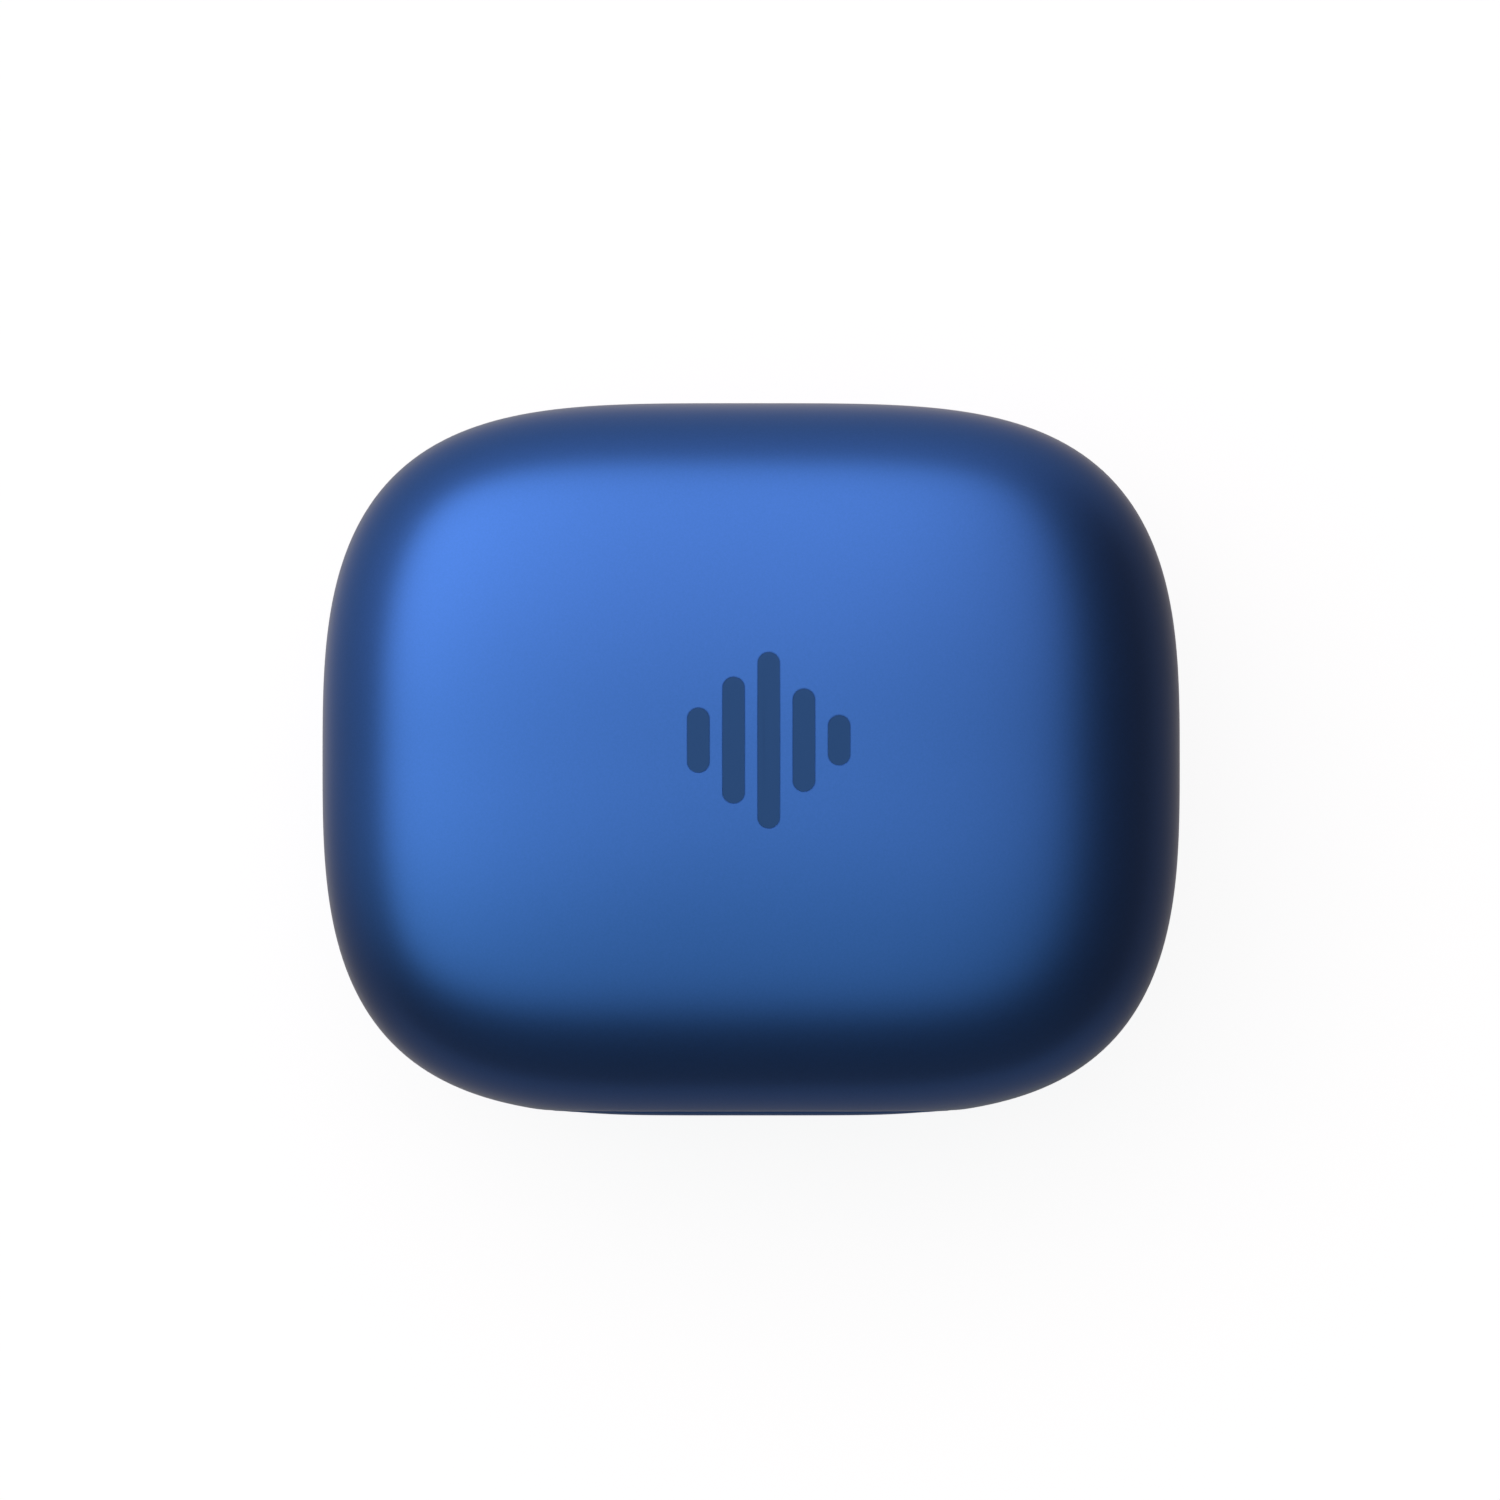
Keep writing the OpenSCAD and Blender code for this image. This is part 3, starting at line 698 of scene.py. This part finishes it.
def grain_group() -> NodeTree:
    """The grain that every finish shares: fine speckle, broad mottling and the roughness between them.

    Returns:
        The node group, made on the first call.
    """
    name = "surface_grain"
    if name in bpy.data.node_groups:
        return bpy.data.node_groups[name]
    tree = bpy.data.node_groups.new(name, "ShaderNodeTree")
    for socket, kind, value in (
        ("Vector", "Vector", None),
        ("Colour", "Color", None),
        ("Tint", "Color", None),
        ("Fine Scale", "Float", 9000.0),
        ("Broad Scale", "Float", 120.0),
        ("Mottle", "Float", 0.2),
        ("Roughness", "Float", 0.4),
        ("Spread", "Float", 0.05),
    ):
        made = tree.interface.new_socket(socket, in_out="INPUT", socket_type="NodeSocket" + kind)
        if value is not None:
            made.default_value = value
    for socket, kind in (("Colour", "Color"), ("Roughness", "Float"), ("Height", "Float")):
        tree.interface.new_socket(socket, in_out="OUTPUT", socket_type="NodeSocket" + kind)
    graph = Graph(tree)
    given = graph.add("NodeGroupInput").outputs
    result = graph.add("NodeGroupOutput").inputs
    fine = graph.noise(given["Vector"], given["Fine Scale"], SPECKLE_DETAIL)
    broad = graph.noise(given["Vector"], given["Broad Scale"], PATCH_DETAIL)
    speckle = graph.math("MULTIPLY", graph.math("SUBTRACT", fine, 0.5), SPECKLE_GAIN)
    patches = graph.math("MULTIPLY", graph.math("SUBTRACT", broad, 0.5), PATCH_GAIN)
    both = graph.math("ADD", speckle, patches)
    share = graph.math("ADD", graph.math("MULTIPLY", both, given["Mottle"]), 0.5)
    graph.join(graph.mix(share, given["Colour"], given["Tint"]), result["Colour"])
    rough = graph.math("ADD", given["Roughness"], graph.math("MULTIPLY", both, given["Spread"]))
    graph.join(rough, result["Roughness"])
    graph.join(fine, result["Height"])
    return tree


@dataclass(frozen=True)
class Finish:
    """One material: its colour runs between two near tones, with grain at the real one's scale."""

    slot: str
    colour: Colour
    tint: Colour
    roughness: float
    metallic: float = 0.0
    fine_scale: float = 9000.0
    broad_scale: float = 120.0
    stretch: Point = (1, 1, 1)
    mottle: float = 0.5
    spread: float = 0.06
    bump_mm: float = 0.004
    coat: float = 0.0
    coat_roughness: float = 0.15
    specular: float = 0.5
    sheen: float = 0.0
    sheen_roughness: float = 0.4
    transmission: float = 0.0

    def material(self) -> Material:
        """Builds the material.

        Returns:
            The material, named after its slot.
        """
        material = bpy.data.materials.new(self.slot)
        material.use_nodes = True
        graph = Graph(material.node_tree)
        shader = material.node_tree.nodes["Principled BSDF"]
        place = graph.add("ShaderNodeTexCoord").outputs["Object"]
        mapping = graph.add("ShaderNodeMapping")
        mapping.inputs["Scale"].default_value = self.stretch
        graph.join(place, mapping.inputs["Vector"])
        grain = graph.add("ShaderNodeGroup", node_tree=grain_group())
        graph.join(mapping.outputs["Vector"], grain.inputs["Vector"])
        for name, value in (
            ("Colour", opaque(self.colour)),
            ("Tint", opaque(self.tint)),
            ("Fine Scale", self.fine_scale),
            ("Broad Scale", self.broad_scale),
            ("Mottle", self.mottle),
            ("Roughness", self.roughness),
            ("Spread", self.spread),
        ):
            grain.inputs[name].default_value = value
        graph.join(grain.outputs["Colour"], shader.inputs["Base Color"])
        graph.join(grain.outputs["Roughness"], shader.inputs["Roughness"])
        bump = graph.add("ShaderNodeBump")
        bump.inputs["Distance"].default_value = self.bump_mm * MM
        graph.join(grain.outputs["Height"], bump.inputs["Height"])
        graph.join(bump.outputs["Normal"], shader.inputs["Normal"])
        for name, value in (
            ("Metallic", self.metallic),
            ("Coat Weight", self.coat),
            ("Coat Roughness", self.coat_roughness),
            ("Specular IOR Level", self.specular),
            ("Sheen Weight", self.sheen),
            ("Sheen Roughness", self.sheen_roughness),
            ("Transmission Weight", self.transmission),
        ):
            shader.inputs[name].default_value = value
        return material


FINISHES = (
    Finish("shell_blue", (0.080, 0.27, 0.86), (0.092, 0.295, 0.93), 0.33, metallic=0.94, mottle=1.0,
           spread=0.03, bump_mm=0.0008, fine_scale=7000, broad_scale=40, sheen=0.9),
    Finish("navy_inlay", (0.03, 0.125, 0.36), (0.034, 0.137, 0.39), 0.38, metallic=0.55, bump_mm=0.0006),
    Finish("tray_navy", (0.022, 0.036, 0.078), (0.03, 0.048, 0.1), 0.5, bump_mm=0.006),
    Finish("steel", (0.56, 0.57, 0.59), (0.47, 0.48, 0.50), 0.28, metallic=1, stretch=(0.15, 1, 1)),
    Finish("spring_steel", (0.42, 0.43, 0.45), (0.34, 0.35, 0.37), 0.3, metallic=1, bump_mm=0.002),
    Finish("arm_metal", (0.15, 0.16, 0.18), (0.11, 0.12, 0.135), 0.36, metallic=1, stretch=(1, 0.2, 1)),
    Finish("trim_metal", (0.60, 0.62, 0.66), (0.53, 0.55, 0.59), 0.32, metallic=1, bump_mm=0.004),
    Finish("clear_plastic", (0.80, 0.83, 0.87), (0.72, 0.76, 0.82), 0.3, transmission=0.25, bump_mm=0.002),
    Finish("led_lens", (0.85, 0.78, 0.45), (0.78, 0.70, 0.38), 0.2, coat=0.4),
    Finish("circuit_board", (0.012, 0.085, 0.045), (0.02, 0.13, 0.065), 0.36, fine_scale=2500, mottle=1.4,
           coat=0.3, bump_mm=0.01),
    Finish("black_plastic", (0.016, 0.016, 0.018), (0.026, 0.026, 0.029), 0.46, bump_mm=0.005),
    Finish("white_plastic", (0.76, 0.74, 0.68), (0.70, 0.68, 0.62), 0.42),
    Finish("copper", (0.80, 0.36, 0.17), (0.62, 0.25, 0.11), 0.26, metallic=1, mottle=1.0, coat=0.5),
    Finish("ferrite", (0.045, 0.046, 0.05), (0.065, 0.066, 0.07), 0.5, metallic=0.3, mottle=1.2),
    Finish("foam", (0.22, 0.22, 0.23), (0.29, 0.29, 0.30), 0.9, fine_scale=3500, mottle=1.6, bump_mm=0.06),
    Finish("cell_foil", (0.58, 0.59, 0.61), (0.50, 0.51, 0.53), 0.3, metallic=1, fine_scale=1800,
           broad_scale=260, bump_mm=0.03),
    Finish("lead_sleeve", (0.36, 0.018, 0.018), (0.28, 0.012, 0.012), 0.38),
    Finish("flex_film", (0.58, 0.25, 0.045), (0.46, 0.18, 0.03), 0.3, coat=0.3, stretch=(1, 0.3, 1)),
    Finish("gold", (0.86, 0.60, 0.23), (0.78, 0.53, 0.19), 0.2, metallic=1, bump_mm=0.001),
    Finish("magnet", (0.63, 0.62, 0.60), (0.55, 0.54, 0.52), 0.16, metallic=1, bump_mm=0.002),
    Finish("soft_rubber", (0.028, 0.028, 0.031), (0.04, 0.04, 0.043), 0.7, bump_mm=0.008),
)


# ------- pieces


@dataclass
class Workshop:
    """Knows each node's finish, and hands every new piece its material, body and node."""

    materials: dict[str, Material] = field(default_factory=dict)
    slots: dict[str, str] = field(default_factory=dict)
    flat_angle: float = math.radians(0.5)
    mould_voxel: float = 0.24
    mould_passes: int = 5

    def __post_init__(self) -> None:
        """Makes the materials and reads which slot each node uses."""
        self.materials = {finish.slot: finish.material() for finish in FINISHES}
        self.slots = {part["node"]: part["material_slot"] for part in frame["record"]["subparts"]}

    def body_of(self, node: str) -> str:
        """The body that a CAD node belongs to."""
        bodies = frame["record"]["behaviour"]["bodies"]
        return next(body for body, nodes in bodies.items() if node in nodes)

    def dress(self, piece: Object, node: str) -> Object:
        """Gives a new piece the finish and body of the CAD node that it replaces.

        Args:
            piece: The new piece.
            node: The CAD node's name.

        Returns:
            The piece.
        """
        slot = self.slots[node]
        piece.data.materials.clear()
        piece.data.materials.append(self.materials[slot])
        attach(piece, self.body_of(node))
        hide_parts(node)
        log.info("%s stands for %s, with %d faces", piece.name, node, len(piece.data.polygons))
        return piece

    def dress_frame(self) -> None:
        """Gives every CAD node its procedural finish."""
        for name, node in frame["nodes"].items():
            for holder in node.material_slots:
                holder.material = self.materials[self.slots[name]]

    def copy_of(self, node: str, name: str) -> Object:
        """A welded copy of a CAD node's mesh, as a piece of its own."""
        mesh = frame["nodes"][node].data.copy()
        piece = bpy.data.objects.new(name, mesh)
        mesh.name = name
        bpy.context.scene.collection.objects.link(piece)
        edit_all(piece, lambda: bpy.ops.mesh.remove_doubles(threshold=CAD_WELD))
        return piece

    def bevelled(self, node: str, width: float) -> Object:
        """A copy of a CAD node with its sharp edges broken.

        Args:
            node: The CAD node's name.
            width: Width of the bevel in millimetres.

        Returns:
            The dressed piece.
        """
        piece = self.copy_of(node, node + "_finished")
        edit_all(piece, lambda: bpy.ops.mesh.dissolve_limited(angle_limit=self.flat_angle))
        bevel(piece, width, segments=2, angle=50)
        return self.dress(smooth(piece, angle=40), node)

    def moulded(self, node: str) -> Object:
        """A copy of a CAD node as one even skin, with every corner rounded as in a mould.

        Args:
            node: The CAD node's name.

        Returns:
            The dressed piece.
        """
        piece = self.copy_of(node, node + "_moulded")
        voxel = self.mould_voxel * MM
        apply_modifier(piece, "REMESH", mode="VOXEL", voxel_size=voxel, use_smooth_shade=True)
        apply_modifier(piece, "SMOOTH", factor=0.5, iterations=self.mould_passes)
        return self.dress(smooth(piece, angle=60), node)


@dataclass
class CaseShape:
    """The case's measures, read from the frame."""

    seam_gap: float = 0.2
    wall: float = 1.5
    hinge_drop: float = 4.3
    belly: float = 0.8

    def __post_init__(self) -> None:
        """Works out the outer form and the seam from the CAD box and the hinge."""
        low, high = (np.array(corner) / MM for corner in CAD_BOX)
        hinge = next(joint for joint in frame["joints"] if joint["name"] == "lid_hinge")
        _, self.pivot_y, self.pivot_z = (v / MM for v in hinge["pos_m"])
        seam_z = self.pivot_z + self.hinge_drop
        self.form = Pebble(
            half_w=(high[0] - low[0]) / 2,
            half_d=high[1],
            seam_z=seam_z,
            rise=high[2] - seam_z,
            depth=seam_z - low[2] + self.belly,
        )
        self.seam = Seam(seam_z, self.pivot_y, self.pivot_z)
        self.recess = ThumbRecess(foremost=low[1])
        self.foot_z = low[2]


@dataclass
class Mark:
    """The mark on the lid: five upright bars like a sound level, sunk and filled."""

    centre: tuple[float, float] = (1.2, 1.4)
    bar: float = 1.5
    pitch: float = 2.4
    heights: tuple[float, ...] = (4.4, 8.6, 12, 7, 3.4)
    depth: float = 0.3
    sunk: float = 0.05
    gap: float = 0.05
    clearance: float = 1.0
    insets: tuple[float, ...] = (0.04, 0.16, 0.2)

    def bars(self, name: str, widen: float, low: float, high: float) -> list[Object]:
        """Upright bars between two heights.

        Args:
            name: First part of the bars' names.
            widen: How much wider and longer each bar is made.
            low: Height of the bars' lower ends.
            high: Height of their upper ends.

        Returns:
            The bars.
        """
        middle = (len(self.heights) - 1) / 2
        return [
            stadium_prism(
                f"{name}_{i}",
                (self.centre[0] + (i - middle) * self.pitch, self.centre[1], (low + high) / 2),
                (height + widen, self.bar + widen),
                high - low,
                (0, 0, QUARTER_TURN),
            )
            for i, height in enumerate(self.heights)
        ]

    def sink(self, shell: Object, form: Pebble) -> None:
        """Cuts the bars' pockets in the lid."""
        crown = form.seam_z + form.rise
        for tool in self.bars("mark_pocket", 2 * self.gap, crown - self.depth, crown + self.clearance):
            cut(shell, tool)

    def inlay(self, form: Pebble) -> Object:
        """The filling of the pockets, a hair below the lid's surface.

        Args:
            form: The lid's outer form.

        Returns:
            The five bars as one piece.
        """
        crown = form.seam_z + form.rise
        joined(self.bars("lid_mark", 0, crown - self.depth, crown))
        piece = added("lid_mark")
        inset_ends(piece, 2, self.insets, True)
        places = coordinates(piece)
        upper = places[:, 2] > (crown - self.depth / 2) * MM
        x, y = places[upper, 0] / MM, places[upper, 1] / MM
        places[upper, 2] = (form.top_at(x, y) - self.sunk) * MM
        move_vertices(piece, places)
        return smooth(piece, angle=50)


@dataclass
class LidHalf:
    """The lid: shell, mark and liner."""

    shape: CaseShape
    shop: Workshop

    def build(self) -> None:
        """Models and dresses the lid's pieces."""
        shape = self.shape
        seam = shape.seam.shifted(shape.seam_gap / 2)
        builder = ShellBuilder(Side.LID, shape.form, seam, shape.wall, shape.recess)
        shell = smooth(builder.build("lid_shell_skin"), angle=80)
        uncut = duplicate(shell, "lid_shell_uncut")
        mark = Mark()
        mark.sink(shell, shape.form)
        smooth(shell, angle=50)
        keep_normals(shell, uncut)
        self.shop.dress(shell, "lid_shell")
        self.shop.dress(mark.inlay(shape.form), "lid_emblem")
        self.shop.moulded("lid_liner")


@dataclass
class PortAndButton:
    """The charging port's surround and the pairing button in the rear face."""

    shape: CaseShape
    height: float = 7.6
    port_hole: tuple[float, float] = (10.4, 4.5)
    trim_outer: tuple[float, float] = (10.3, 4.4)
    trim_inner: tuple[float, float] = (9.2, 3.3)
    trim_front: float = 22.0
    trim_length: float = 3.0
    round_sides: int = 96
    tool_length: float = 14.0
    button_x: float = 10.5
    button_r: float = 1.6
    button_gap: float = 0.1
    button_dish: float = 0.12
    button_insets: tuple[float, ...] = (0.12, 0.25, 0.25, 0.25, 0.25)
    button_tool: float = 10.0
    flange: Point = (4.6, 0.4, 3.0)
    sunk: float = 0.03
    rounding: float = 0.1

    def cut_holes(self, shell: Object) -> None:
        """Cuts the port's and the button's holes through the base's rear wall."""
        rear = self.shape.form.half_d
        port = (0, rear, self.height)
        tool = stadium_prism("port_tool", port, self.port_hole, self.tool_length, ALONG_Y, self.round_sides)
        cut(shell, tool)
        button = (self.button_x, rear, self.height)
        radius = self.button_r + self.button_gap
        cut(shell, rod("button_tool", button, radius, self.button_tool, ALONG_Y))

    def follow_rear(self, piece: Object, beyond: float, dish: float) -> None:
        """Moves the vertices behind a plane onto the case's rear surface.

        Args:
            piece: The piece.
            beyond: Vertices further back than this move, in millimetres.
            dish: How far the middle is hollowed.
        """
        places = coordinates(piece)
        rear = places[:, 1] > beyond * MM
        x, z = places[rear, 0] / MM, places[rear, 2] / MM
        off_axis = np.hypot(x - self.button_x, z - self.height) / self.button_r
        hollow = dish * np.clip(1 - off_axis**2, 0, 1)
        places[rear, 1] = (self.shape.form.rear_at(x, z) - self.sunk - hollow) * MM
        move_vertices(piece, places)

    def trim(self) -> Object:
        """The metal ring that lines the port."""
        length, sides = self.trim_length, self.round_sides
        middle = (0, self.trim_front + length / 2, self.height)
        ring = stadium_prism("port_surround", middle, self.trim_outer, length, ALONG_Y, sides)
        cut(ring, stadium_prism("trim_tool", middle, self.trim_inner, 2 * length, ALONG_Y, sides))
        self.follow_rear(ring, self.trim_front + length / 2, 0)
        bevel(ring, self.rounding, segments=3, angle=50)
        return smooth(ring, angle=40)

    def button(self) -> Object:
        """The button: a dished cap flush with the case, on a bar that stops it behind the wall."""
        low, high = (np.array(corner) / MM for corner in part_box("pairing_button"))
        length = high[1] - low[1]
        middle = (self.button_x, (low[1] + high[1]) / 2, self.height)
        cap = rod("pairing_button_cap", middle, self.button_r, length, ALONG_Y)
        inset_ends(cap, 1, self.button_insets, False)
        self.follow_rear(cap, middle[1], self.button_dish)
        bevel(cap, self.rounding, segments=3, angle=60)
        deselect_all()
        place = (self.button_x * MM, (low[1] + self.flange[1] / 2) * MM, self.height * MM)
        bpy.ops.mesh.primitive_cube_add(size=1, location=place, scale=[v * MM for v in self.flange])
        flange = settle(added("button_flange"))
        bevel(flange, self.rounding, segments=2, angle=30)
        return smooth(joined([cap, flange]), angle=50)


@dataclass
class BaseHalf:
    """The base: shell with its openings, port surround, button and cradle."""

    shape: CaseShape
    shop: Workshop
    light_z: float = 9.2
    light_pitch: float = 3.4
    light_r: float = 0.6
    light_count: int = 3
    light_depth: float = 8.0
    light_sides: int = 32

    def cut_lights(self, shell: Object) -> None:
        """Cuts the holes of the charge lights in the front."""
        for i in range(self.light_count):
            x = (i - (self.light_count - 1) / 2) * self.light_pitch
            front = (x, -self.shape.form.half_d, self.light_z)
            name = f"light_tool_{i}"
            cut(shell, rod(name, front, self.light_r, self.light_depth, ALONG_Y, self.light_sides))

    def build(self) -> None:
        """Models and dresses the base's pieces."""
        shape = self.shape
        seam = shape.seam.shifted(-shape.seam_gap / 2)
        builder = ShellBuilder(Side.BASE, shape.form, seam, shape.wall, shape.recess, shape.foot_z)
        shell = smooth(builder.build("base_shell_skin"), angle=80)
        uncut = duplicate(shell, "base_shell_uncut")
        rear = PortAndButton(shape)
        rear.cut_holes(shell)
        self.cut_lights(shell)
        smooth(shell, angle=50)
        keep_normals(shell, uncut)
        self.shop.dress(shell, "base_shell")
        self.shop.dress(rear.trim(), "usb_trim")
        self.shop.dress(rear.button(), "pairing_button")
        self.shop.moulded("cradle_tray")


@dataclass
class ContactSprings:
    """The coil springs under the charging pins, as copies of their CAD nodes."""

    shop: Workshop

    def build(self) -> None:
        """Makes each spring as a smooth copy of its CAD node, with its own finish, body and mesh."""
        for node in (name for name in frame["nodes"] if name.startswith("contact_spring")):
            piece = self.shop.dress(smooth(self.shop.copy_of(node, node + "_coil"), angle=80), node)
            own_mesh(piece)


# How wide each small part's edges are rounded, in millimetres.
SMALL_PARTS = {
    "hinge_arm": 0.15,
    "hinge_bracket": 0.08,
    "arm_screws": 0.08,
    "bracket_screws": 0.08,
    "tray_screws": 0.1,
    "lid_bumpers": 0.1,
    "usb_receptacle": 0.05,
    "usb_tongue": 0.06,
    "hinge_pin": 0.12,
}


# ------- stage


@dataclass
class Surroundings:
    """Brightness of what surrounds the case: most at the left and rear, least at the right."""

    right: float
    rear: float
    front: float
    rear_pull: float = 1.15
    left_pull: float = 0.72
    span: tuple[float, float] = (-0.2, 1.2)
    front_span: tuple[float, float] = (-1.0, -0.4)

    def build(self, graph: Graph, x: NodeSocket, y: NodeSocket) -> NodeSocket:
        """Adds the brightness to a tree.

        Args:
            graph: The tree to add nodes to.
            x: How far to the right, from -1 to 1.
            y: How far to the rear, from -1 to 1.

        Returns:
            The brightness.
        """
        rearward = graph.math("MULTIPLY", y, self.rear_pull)
        lean = graph.math("SUBTRACT", rearward, graph.math("MULTIPLY", x, self.left_pull))
        around = graph.ease(lean, *self.span, self.right, self.rear)
        return graph.math("ADD", around, graph.ease(y, *self.front_span, self.front - self.right, 0))


@dataclass
class SoftBox:
    """One large soft light over the case: a rounded patch of the sky, in slopes from straight up."""

    centre: tuple[float, float] = (-0.44, 0.54)
    half: tuple[float, float] = (1.2, 1.28)
    roundness: float = 4.0
    softness: tuple[float, float] = (0.12, 0.5)
    soft_span: tuple[float, float] = (-0.6, 1.0)
    across: tuple[float, float] = (1.62, 0.71)
    across_span: tuple[float, float] = (-1.6, 1.2)
    along: tuple[float, float] = (0.335, 0.59)
    along_span: tuple[float, float] = (-0.15, 0.1)
    horizon: float = 0.001
    warm_rear: Colour = (1.1, 0.965, 1.0)
    cool_front: Colour = (0.9, 1.03, 1.0)
    fill: Surroundings = field(default_factory=lambda: Surroundings(0.01, 0.25, 0.03))

    def patch(self, graph: Graph, x: NodeSocket, y: NodeSocket) -> NodeSocket:
        """The light's outline: crisp at the right and front, soft at the left and rear."""
        u = graph.math("DIVIDE", graph.math("SUBTRACT", x, self.centre[0]), self.half[0])
        v = graph.math("DIVIDE", graph.math("SUBTRACT", y, self.centre[1]), self.half[1])
        powers = [graph.math("POWER", graph.math("ABSOLUTE", value), self.roundness) for value in (u, v)]
        gauge = graph.math("POWER", graph.math("ADD", *powers), 1 / self.roundness)
        soft = graph.ease(graph.math("SUBTRACT", v, u), *self.soft_span, *self.softness)
        return graph.ease(gauge, graph.math("SUBTRACT", 1.0, soft), graph.math("ADD", 1.0, soft), 1, 0)

    def build(self) -> None:
        """Makes the world: the light patch, a faint fill, and white behind everything."""
        world = bpy.data.worlds.new("studio")
        bpy.context.scene.world = world
        world.use_nodes = True
        graph = Graph(world.node_tree)
        out = world.node_tree.nodes["World Output"]
        direction = graph.add("ShaderNodeSeparateXYZ")
        graph.join(graph.add("ShaderNodeTexCoord").outputs["Generated"], direction.inputs[0])
        up = graph.math("MAXIMUM", direction.outputs["Z"], self.horizon)
        x = graph.math("DIVIDE", direction.outputs["X"], up)
        y = graph.math("DIVIDE", direction.outputs["Y"], up)
        rearward = graph.ease(y, *self.along_span)
        along = graph.ease(y, *self.along_span, *self.along)
        level = graph.math("MULTIPLY", graph.ease(x, *self.across_span, *self.across), along)
        level = graph.math("MULTIPLY", level, self.patch(graph, x, y))
        fill = self.fill.build(graph, direction.outputs["X"], direction.outputs["Y"])
        glow = graph.math("ADD", level, fill)
        seen = graph.add("ShaderNodeLightPath").outputs["Is Camera Ray"]
        tint = graph.mix(rearward, opaque(self.cool_front), opaque(self.warm_rear))
        background = graph.add("ShaderNodeBackground")
        graph.join(graph.mix(seen, tint, (1, 1, 1, 1)), background.inputs["Color"])
        graph.join(graph.math("MAXIMUM", glow, seen), background.inputs["Strength"])
        graph.join(background.outputs[0], out.inputs["Surface"])


@dataclass
class Floor:
    """A plain pale floor that shows a soft contact shadow and reflects little."""

    half: float = 3.0
    albedo: float = 0.3
    lift: float = 0.89
    mirror: Surroundings = field(default_factory=lambda: Surroundings(0.05, 0.28, 0.12))
    mirror_span: tuple[float, float] = (1.0, 2.0)
    far_share: float = 0.75

    def build(self, form: Pebble, height: float) -> Object:
        """Makes the floor.

        Args:
            form: The case's outer form, which the bright rim of the reflection follows.
            height: Height of the floor in millimetres.

        Returns:
            The floor.
        """
        deselect_all()
        bpy.ops.mesh.primitive_plane_add(size=2 * self.half, location=(0, 0, height * MM))
        floor = settle(added("floor"))
        material = bpy.data.materials.new("floor")
        material.use_nodes = True
        graph = Graph(material.node_tree)
        material.node_tree.nodes.remove(material.node_tree.nodes["Principled BSDF"])
        out = material.node_tree.nodes["Material Output"]
        place = graph.add("ShaderNodeSeparateXYZ")
        graph.join(graph.add("ShaderNodeTexCoord").outputs["Object"], place.inputs[0])
        x = graph.math("DIVIDE", place.outputs["X"], form.half_w * MM)
        y = graph.math("DIVIDE", place.outputs["Y"], form.half_d * MM)
        squares = graph.math("ADD", graph.math("MULTIPLY", x, x), graph.math("MULTIPLY", y, y))
        gauge = graph.math("SQRT", squares)
        glow = self.mirror.build(graph, graph.math("DIVIDE", x, gauge), graph.math("DIVIDE", y, gauge))
        halo = graph.math("MULTIPLY", glow, graph.ease(gauge, *self.mirror_span, 1.0, self.far_share))
        path = graph.add("ShaderNodeLightPath").outputs
        pale = graph.add("ShaderNodeBsdfDiffuse")
        pale.inputs["Color"].default_value = opaque((self.albedo,) * 3)
        lifted = graph.add("ShaderNodeEmission")
        lifted.inputs["Strength"].default_value = self.lift
        seen = graph.add("ShaderNodeAddShader")
        graph.join(pale.outputs[0], seen.inputs[0])
        graph.join(lifted.outputs[0], seen.inputs[1])
        mirrored = graph.add("ShaderNodeEmission")
        graph.join(halo, mirrored.inputs["Strength"])
        unseen = graph.mix_shader(path["Is Glossy Ray"], pale.outputs[0], mirrored.outputs[0])
        either = graph.mix_shader(path["Is Camera Ray"], unseen, seen.outputs[0])
        graph.join(either, out.inputs["Surface"])
        floor.data.materials.append(material)
        return floor


@dataclass
class OverheadCamera:
    """A long lens straight above the case."""

    lens: float = 150.0
    sensor: float = 36.0
    view_width: float = 105.26
    offset: tuple[float, float] = (-0.08, 0.73)
    clip: tuple[float, float] = (0.01, 20.0)

    def build(self, seam_z: float) -> Object:
        """Makes the camera.

        Args:
            seam_z: Height of the plane that view_width is measured in, in millimetres.

        Returns:
            The camera.
        """
        distance = self.view_width / 2 / (self.sensor / 2 / self.lens)
        deselect_all()
        place = (self.offset[0] * MM, self.offset[1] * MM, (seam_z + distance) * MM)
        bpy.ops.object.camera_add(location=place, rotation=(0, 0, 0))
        camera = bpy.context.object
        camera.name = "overhead_camera"
        camera.data.lens = self.lens
        camera.data.sensor_width = self.sensor
        camera.data.clip_start, camera.data.clip_end = self.clip
        bpy.context.scene.camera = camera
        return camera


def main() -> None:
    """Builds the stage, the two halves and the small parts, and reports each piece."""
    logging.basicConfig(level=logging.INFO, format="%(name)s: %(message)s")
    bpy.context.scene.view_settings.view_transform = "Standard"
    shape = CaseShape()
    OverheadCamera().build(shape.form.seam_z)
    SoftBox().build()
    Floor().build(shape.form, shape.foot_z)
    shop = Workshop()
    shop.dress_frame()
    BaseHalf(shape, shop).build()
    LidHalf(shape, shop).build()
    ContactSprings(shop).build()
    for node, width in SMALL_PARTS.items():
        shop.bevelled(node, width)


if __name__ == "__main__":
    main()
